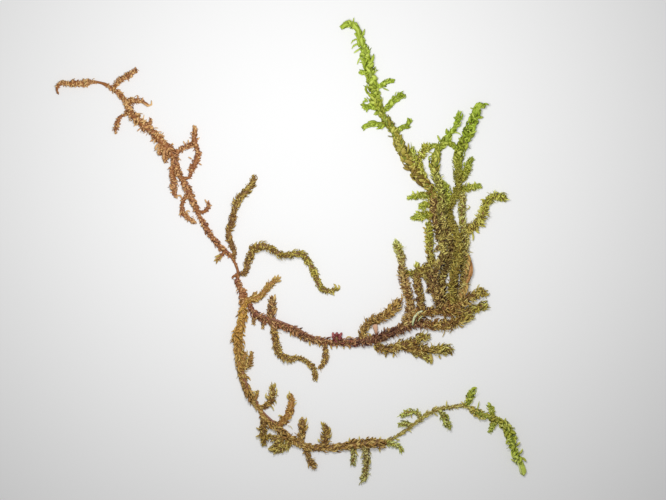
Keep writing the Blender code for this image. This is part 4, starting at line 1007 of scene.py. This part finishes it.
# Leaders: the growing ends above the tuft, swollen with broad hollow leaves that curl round each
# other, golden where they leave the tuft and bright green at their hooked tips.
fresh_green_leaves = leaf_finish(
    "fresh_green_leaves",
    [(0.17, 0.1, 0.018), (0.325, 0.22, 0.034), (0.60, 0.46, 0.115)],
    [(0.25, 0.35, 0.018), (0.34, 0.47, 0.026), (0.57, 0.68, 0.11)])
swollen = Habit(length=2.4, width=1.1, point=0.65, lean=0.55, bend=0.6, ragged=0.3, curl=3.1, twist=0.15,
                crowd=12.0, spikes=0.05, stem=0.8, across=4)
dress("green_leader", fresh_green_leaves, green_stem, swollen, (0.1, 0.1, 0.4, 0.8, 0.95, 1.0),
    [(31.9, 12.2, 1.2), (31.1, 14.3, 1.25), (29.5, 15.8, 1.3), (28, 17.5, 1.25), (26.9, 19.3, 1.25),
     (25.8, 21.2, 1.25), (24.7, 23.2, 1.3), (23.9, 25.1, 1.2), (22.9, 27.1, 1.15), (21.2, 29.6, 1.15),
     (20.2, 31.1, 1), (19.5, 32.8, 1), (18.7, 34.6, 1.1), (18.4, 36.4, 1.3), (17.9, 38.2, 1.25),
     (17.6, 40, 1.25), (17.1, 42.4, 1.3), (16.6, 44.4, 1.25), (16.2, 46, 1), (15.6, 47.8, .85, .2),
     (15, 49.5, .7, .5), (14.2, 50.6, .7, .8), (12.8, 51.1, .7, .9), (11.3, 50.5, .55, .8)],
    [(17.4, 40.4, .6), (15.9, 40.4, .6), (14.8, 40.9, .5)],
    [(18.8, 37, .6), (20.4, 37.7, .6), (22, 38.5, .6), (23, 38.3, .4)],
    [(20, 31.6, .6), (21.4, 32.6, .75), (23, 34.2, .8), (24.6, 35.3, .8), (25.7, 35, .45)],
    [(19.4, 32.4, .6), (18, 32.7, .7), (16.5, 32.8, .6), (15.7, 33.6, .35)],
    [(19.8, 31.6, .6), (18.3, 31.5, .6)],
    [(21.4, 29.2, .7), (19.7, 28.6, .7), (18.2, 28.9, .7), (16.9, 28.6, .65), (15.8, 27.6, .45)],
    [(23, 27, .6), (24.7, 28, .65), (26.2, 28.9, .7), (26.4, 30.2, .45)],
    twigs=(0.8, 1.0))
dress("loop_leader", fresh_green_leaves, green_stem, swollen, (0.3, 0.55, 1.0, 1.0),
    [(32.1, 17.6, 1), (32.2, 20, 1.05), (32.5, 21.9, 1), (32.8, 23.2, .9), (33.7, 24.2, .85),
     (34.7, 25.2, .95), (35.5, 26.7, .6, .3), (36.5, 28, .65, .6), (37.1, 29.2, .8, .6),
     (37.3, 30.4, .85, .6), (37.5, 31.7, .45, .6)],
    [(34, 24.6, .8), (35.4, 24.5, .75), (36.6, 23.7, .7), (37.4, 22.8, .7)],
    [(33, 23.8, .6), (31.8, 23.9, .5), (30.8, 23.7, .55)],
    twigs=(0.6, 0.8))
broad = swollen._replace(length=1.9, width=0.9, crowd=15.0, ragged=0.4, stem=0.7, across=3)
leader_stem = stem_finish("leader_stem", (0.17, 0.13, 0.022), (0.37, 0.33, 0.06))
dress("right_leader", fresh_green_leaves, leader_stem, shaggy, (0.0, 0.05, 0.1, 0.25, 0.5),
    [(36.4, -11.4, 1, 1.6), (35.8, -9.4, 1.1, 1.8), (35.8, -7, 1.15, 1.9), (36.3, -4.8, 1.15, 1.9),
     (36.9, -2.6, 1.15, 1.9), (37.2, -.4, 1.1, 1.9), (37.3, 1.8, 1.1, 1.8), (37.1, 3.6, 1.1, 1.5),
     (36.3, 5.4, 1.1, 1), (35.4, 7.2, 1.05, .4), (35.1, 9, 1.05), (35.5, 10.8, 1.05), (36.4, 12.3, 1.1),
     (37.2, 13.8, 1.2), (37.4, 15.6, 1.15), (37.3, 17.6, 1.05), (37.2, 19.6, 1.1), (37.3, 21.2, 1.1)],
    [(37.2, 19.6, .95), (37.3, 21.2, 1.1), (37.7, 22.6, 1.2), (38.5, 24.2, 1.3), (39, 25.7, 1.3),
     (39.7, 27.2, 1.3), (40.3, 28.6, 1.3), (41, 29.9, 1.25), (41.3, 31.1, 1, .2), (41.6, 32.2, .85, .5),
     (42.4, 33, .7, .9), (43.4, 32.6, .5, 1.1)],
    twigs=(0.5, 0.7, 0.95, 1.0, 1.0), twig_habit=broad)
single_leaves("right_leader_hook", fresh_green_leaves, 1.0,
    [(40.9, 30.4, .4, .4), (41.1, 32, .5, .6), (41.9, 33, .55, .7), (42.9, 33, .5, .6),
     (43.3, 32.3, .25, .4)],
    [(41.3, 30.8, .35, .6), (41.6, 32, .45, .8), (42.4, 32.7, .45, .8), (43.2, 32.2, .25, .6)],
    [(40.7, 30.8, .3, .2), (40.9, 32.2, .4, .4), (41.7, 33.3, .4, .4), (42.6, 33.5, .2, .3)],
    [(41.9, 30.6, .3), (42.1, 31.4, .35, .2), (42, 32.2, .15, .3)],
    lift=1.0, cup=0.8, point=0.45)
dress("right_branch", olive_green_leaves, brown_stem, shaggy, (0.0, 0.5, 0.8, 1.0),
    [(38.8, 4.4, .9), (39.8, 5.2, .9), (41.4, 6.2, 1.25), (42.4, 7.6, 1.35), (43.1, 9, 1.2),
     (43.3, 10.3, .95), (44.1, 11.5, .9), (45, 12.4, 1), (46.4, 12.5, 1), (47.5, 12.3, .9),
     (48.3, 11.8, .45)])
dress("left_loop_branch", olive_green_leaves, brown_stem, shaggy, (0.8, 1.0),
    [(29.8, 16.2, .9, .8), (29.1, 18, .9, .4), (28.6, 19.8, .85), (28.6, 21.2, .9), (29.3, 22.4, 1),
     (30.2, 23.4, 1), (29.9, 24.6, .5)])
single_leaves("green_leader_hook", fresh_green_leaves, 1.0,
    [(15.4, 48, .35, .1), (15.3, 49.8, .4, .3), (14.4, 51.2, .4, .5), (12.9, 51.6, .35, .6),
     (11.5, 51.3, .35, .5), (10.9, 50.5, .3, .3), (11.3, 49.8, .2)],
    [(14.8, 48.1, .3, .2), (14.6, 49.7, .4, .5), (13.7, 50.9, .4, .7), (12.3, 51, .35, .6),
     (11.6, 50.3, .2, .3)],
    [(15.1, 47.3, .35, .4), (15, 49.3, .4, .7), (14.2, 50.8, .35, .9), (13.1, 51.2, .3, .9),
     (12, 51, .2, .7)],
    [(13.3, 51, .3, .9), (12.1, 51, .45, .9), (11.4, 50.5, .45, .7), (11.2, 49.9, .3, .4)],
    *blades((.3, .3, .15), (14.4, 50, 14, 50.7, 13.6, 50), (14.8, 47.9, 14.5, 48.7, 14, 49.2)),
    [(15.9, 46, .4, .2), (15.6, 47.5, .45, .4), (15.3, 49, .3, .5)],
    [(15.1, 46, .4, .2), (14.9, 47.5, .4, .4), (15, 49, .25, .5)],
    lift=1.0, cup=0.8, point=0.45)
single_leaves("green_leader_single_leaves", fresh_green_leaves, 1.0,
    [(15.4, 47.6, .2), (14.8, 47.8, .22), (13.8, 47.6, .2), (13.2, 46.7, .1)],
    [(15.6, 46.6, .25), (14.7, 46.7, .28), (13.8, 46.3, .22), (13.4, 45.6, .12)],
    [(15.4, 45.8, .25), (14.7, 45.3, .22), (13.8, 44.7, .12)],
    [(15.6, 44, .22), (15.1, 43.3, .2), (14.6, 42.1, .1)], [(13.7, 51.4, .2), (13.9, 52.7, .1)],
    [(15.7, 48.2, .3), (16.1, 49.2, .28), (16.3, 50.2, .12)],
    *blades((.3, .15), (16.6, 34, 15.8, 33.7), (17, 32.6, 16.7, 31.4), (17, 33.8, 16.2, 34.7)),
    [(20.3, 37, .2), (21, 36.6, .2), (21.8, 36.3, .1)],
    lift=1.0)
single_leaves("loop_single_leaves", fresh_green_leaves, 0.8,
    [(35.6, 26.4, .2), (36.3, 26.9, .2), (37.2, 26.9, .18), (38.2, 26.1, .1)],
    [(33.3, 24.9, .3), (32.9, 25.7, .25), (32.6, 26.4, .12)], [(34.6, 26.6, .3), (34.7, 27.9, .15)],
    [(31, 23.8, .2), (30.8, 24.8, .1)],
    [(31.6, 21.7, .2), (30.8, 21.5, .2), (30.7, 20.8, .18), (31.3, 20.7, .1)],
    [(31.7, 20, .25), (30.9, 19.8, .25), (30.8, 18.9, .12)], [(40.7, 32.2, .2), (40, 32.5, .1)],
    [(41.4, 30.4, .35), (42.3, 30.2, .3), (43, 30.5, .15)], [(38, 24.7, .3), (37.4, 25.8, .15)],
    [(38.5, 19.4, .25), (38.8, 20.4, .12)],
    lift=0.7)
single_leaves("right_branch_single_leaves", olive_green_leaves, 0.6,
    [(38.8, 10, .18), (39.5, 9.7, .18), (39.9, 10.3, .16), (39.4, 10.7, .1)],
    [(43.5, 11.4, .22), (42.9, 11.9, .22), (42.2, 11.8, .12)],
    *blades((.3, .15), (42.6, 6.3, 43.5, 5.7), (41.1, 5.1, 42.1, 4.3)),
    [(40.4, 4.8, .25), (40.7, 3.6, .25), (40.6, 2.5, .15)],
    lift=0.6)

# Side twigs of the leaders: short fresh green shoots that point up and away from what they grow from,
# the youngest growth of the plant and paler than the leaders.
pale_green_leaves = leaf_finish(
    "fresh_green_leaves",
    [(0.22, 0.2, 0.016), (0.42, 0.38, 0.035), (0.74, 0.7, 0.15)],
    [(0.26, 0.32, 0.016), (0.46, 0.56, 0.035), (0.78, 0.86, 0.17)], "pale")
pale_look = (pale_green_leaves, green_stem, shaggy)
dress("tuft_green_twig", *pale_look, (0.3, 0.8),
    [(34.2, 9.4, .7, .5), (34.7, 11.6, .9, .5), (34.6, 13.4, .9, .4), (34.3, 14.9, .85, .3),
     (33.6, 16.2, .4, .2)])
dress("leader_twig", lime_leaves, brown_stem, shaggy, (0.4, 0.9),
    [(27.4, 19, .8, 1), (27.2, 20.6, .85, .9), (27.1, 22.2, .85, .7), (26.8, 23.7, .45, .6)])
dress("right_twig_upper", *pale_look, (0.0, 1.0),
    [(37.8, 16.2, .7), (39, 17.6, .95), (39.5, 19, 1.1), (39.9, 20.2, .85), (40.3, 21.1, .5),
     (41, 20.9, .35)])
dress("right_twig_lower", *pale_look, (0.0, 0.7),
    [(37.8, 13.8, .7), (39.6, 14.5, .8), (41.1, 14.8, .8), (42.7, 14.9, .45)])
dress("left_twig_upper", *pale_look, (0.0, 0.9),
    [(31.4, 12.7, .8), (29.6, 12.8, .8), (28, 12.7, .85), (26.7, 12.4, .55), (25.7, 12.3, .3)])
dress("left_twig_middle", *pale_look, (0.2, 0.8),
    [(31.6, 10.8, .8), (29.9, 10.7, .85), (28.3, 10.1, .45)])
dress("left_twig_lower", *pale_look, (0.0, 0.8),
    [(31.8, 8.6, .9), (29.8, 8.4, .95), (28.4, 8.1, .95), (27.4, 7.8, .6), (26.6, 7.6, .3)])
single_leaves("twig_single_leaves", pale_green_leaves, 0.8,
    *blades((.25, .12), (27.4, 13.1, 27, 13.9), (28.4, 13.2, 28.1, 13.9), (28.9, 9.8, 28.4, 10.5),
        (28.4, 8.8, 27.7, 9.4), (28, 7.7, 27.1, 7.2), (41.2, 15.1, 41, 16), (39.5, 14.9, 39.8, 15.8),
        (26.6, 12.2, 25.8, 12.3)),
    lift=0.6)

# Sheet, light and camera: the plant lies on a plain pale sheet under a soft light, seen from straight
# above. The sheet glows a little, brightest under the light, so the shadows on it stay pale.
SHEET_HALF = 400.0
SHEET_GREY = 0.55
SHEET_ROUGHNESS = 0.75
GLOW_CENTRE = (2.0, 28.0, 0.0)
GLOW_REACH = 172.0
GLOW_STRENGTH = 0.33
corners = np.array([[-1.0, -1.0, 0.0], [1.0, -1.0, 0.0], [1.0, 1.0, 0.0], [-1.0, 1.0, 0.0]])
sheet = surface("sheet", SHEET_HALF * corners, np.arange(4), np.array([0]), (corners[:, :2] + 1.0) / 2.0, {})
paper, dye, shader = finish_of("pale_sheet")
shader.inputs["Base Color"].default_value = (SHEET_GREY, SHEET_GREY, SHEET_GREY, 1.0)
shader.inputs["Roughness"].default_value = SHEET_ROUGHNESS
place = dye.add("ShaderNodeTexCoord", {}, {}, output=3)
offset = dye.add("ShaderNodeVectorMath", {"operation": "DISTANCE"},
                 {0: place, 1: tuple(part * MM for part in GLOW_CENTRE)}, output=1)
glow = (1.0 - (offset * (1.0 / (GLOW_REACH * MM)))**2.0).held()
glow.toward((0.0, 0.0, 0.0, 1.0), (1.0, 1.0, 1.0, 1.0)).into(shader, "Emission Color")
shader.inputs["Emission Strength"].default_value = GLOW_STRENGTH
sheet.data.materials.append(paper)

WORLD_STRENGTH = 0.30
world = bpy.data.worlds.new("studio")
world.use_nodes = True
world.node_tree.nodes["Background"].inputs["Color"].default_value = (1.0, 1.0, 1.0, 1.0)
world.node_tree.nodes["Background"].inputs["Strength"].default_value = WORLD_STRENGTH
bpy.context.scene.world = world
bpy.context.scene.view_settings.view_transform = "Standard"

LAMP_SIZE = 45.0
LAMP_ENERGY = 0.155
LAMP_PLACE = (2.0, 28.0, 130.0)
lamp = bpy.data.lights.new("soft_box", "AREA")
lamp.shape = "DISK"
lamp.size = LAMP_SIZE * MM
lamp.energy = LAMP_ENERGY
lamp_holder = bpy.data.objects.new("soft_box", lamp)
lamp_holder.location = tuple(part * MM for part in LAMP_PLACE)
lamp_holder.visible_camera = False
bpy.context.scene.collection.objects.link(lamp_holder)

VIEW_CENTRE = (9.225, 0.5625)
VIEW_WIDTH = 149.85
CAMERA_HEIGHT = 350.0
SENSOR = 36.0
NEAREST_SEEN = 0.01
FURTHEST_SEEN = 10.0
camera = bpy.data.cameras.new("camera")
camera.sensor_width = SENSOR
camera.lens = SENSOR * CAMERA_HEIGHT / VIEW_WIDTH
camera.clip_start = NEAREST_SEEN
camera.clip_end = FURTHEST_SEEN
camera_holder = bpy.data.objects.new("camera", camera)
camera_holder.location = (VIEW_CENTRE[0] * MM, VIEW_CENTRE[1] * MM, CAMERA_HEIGHT * MM)
bpy.context.scene.collection.objects.link(camera_holder)
bpy.context.scene.camera = camera_holder
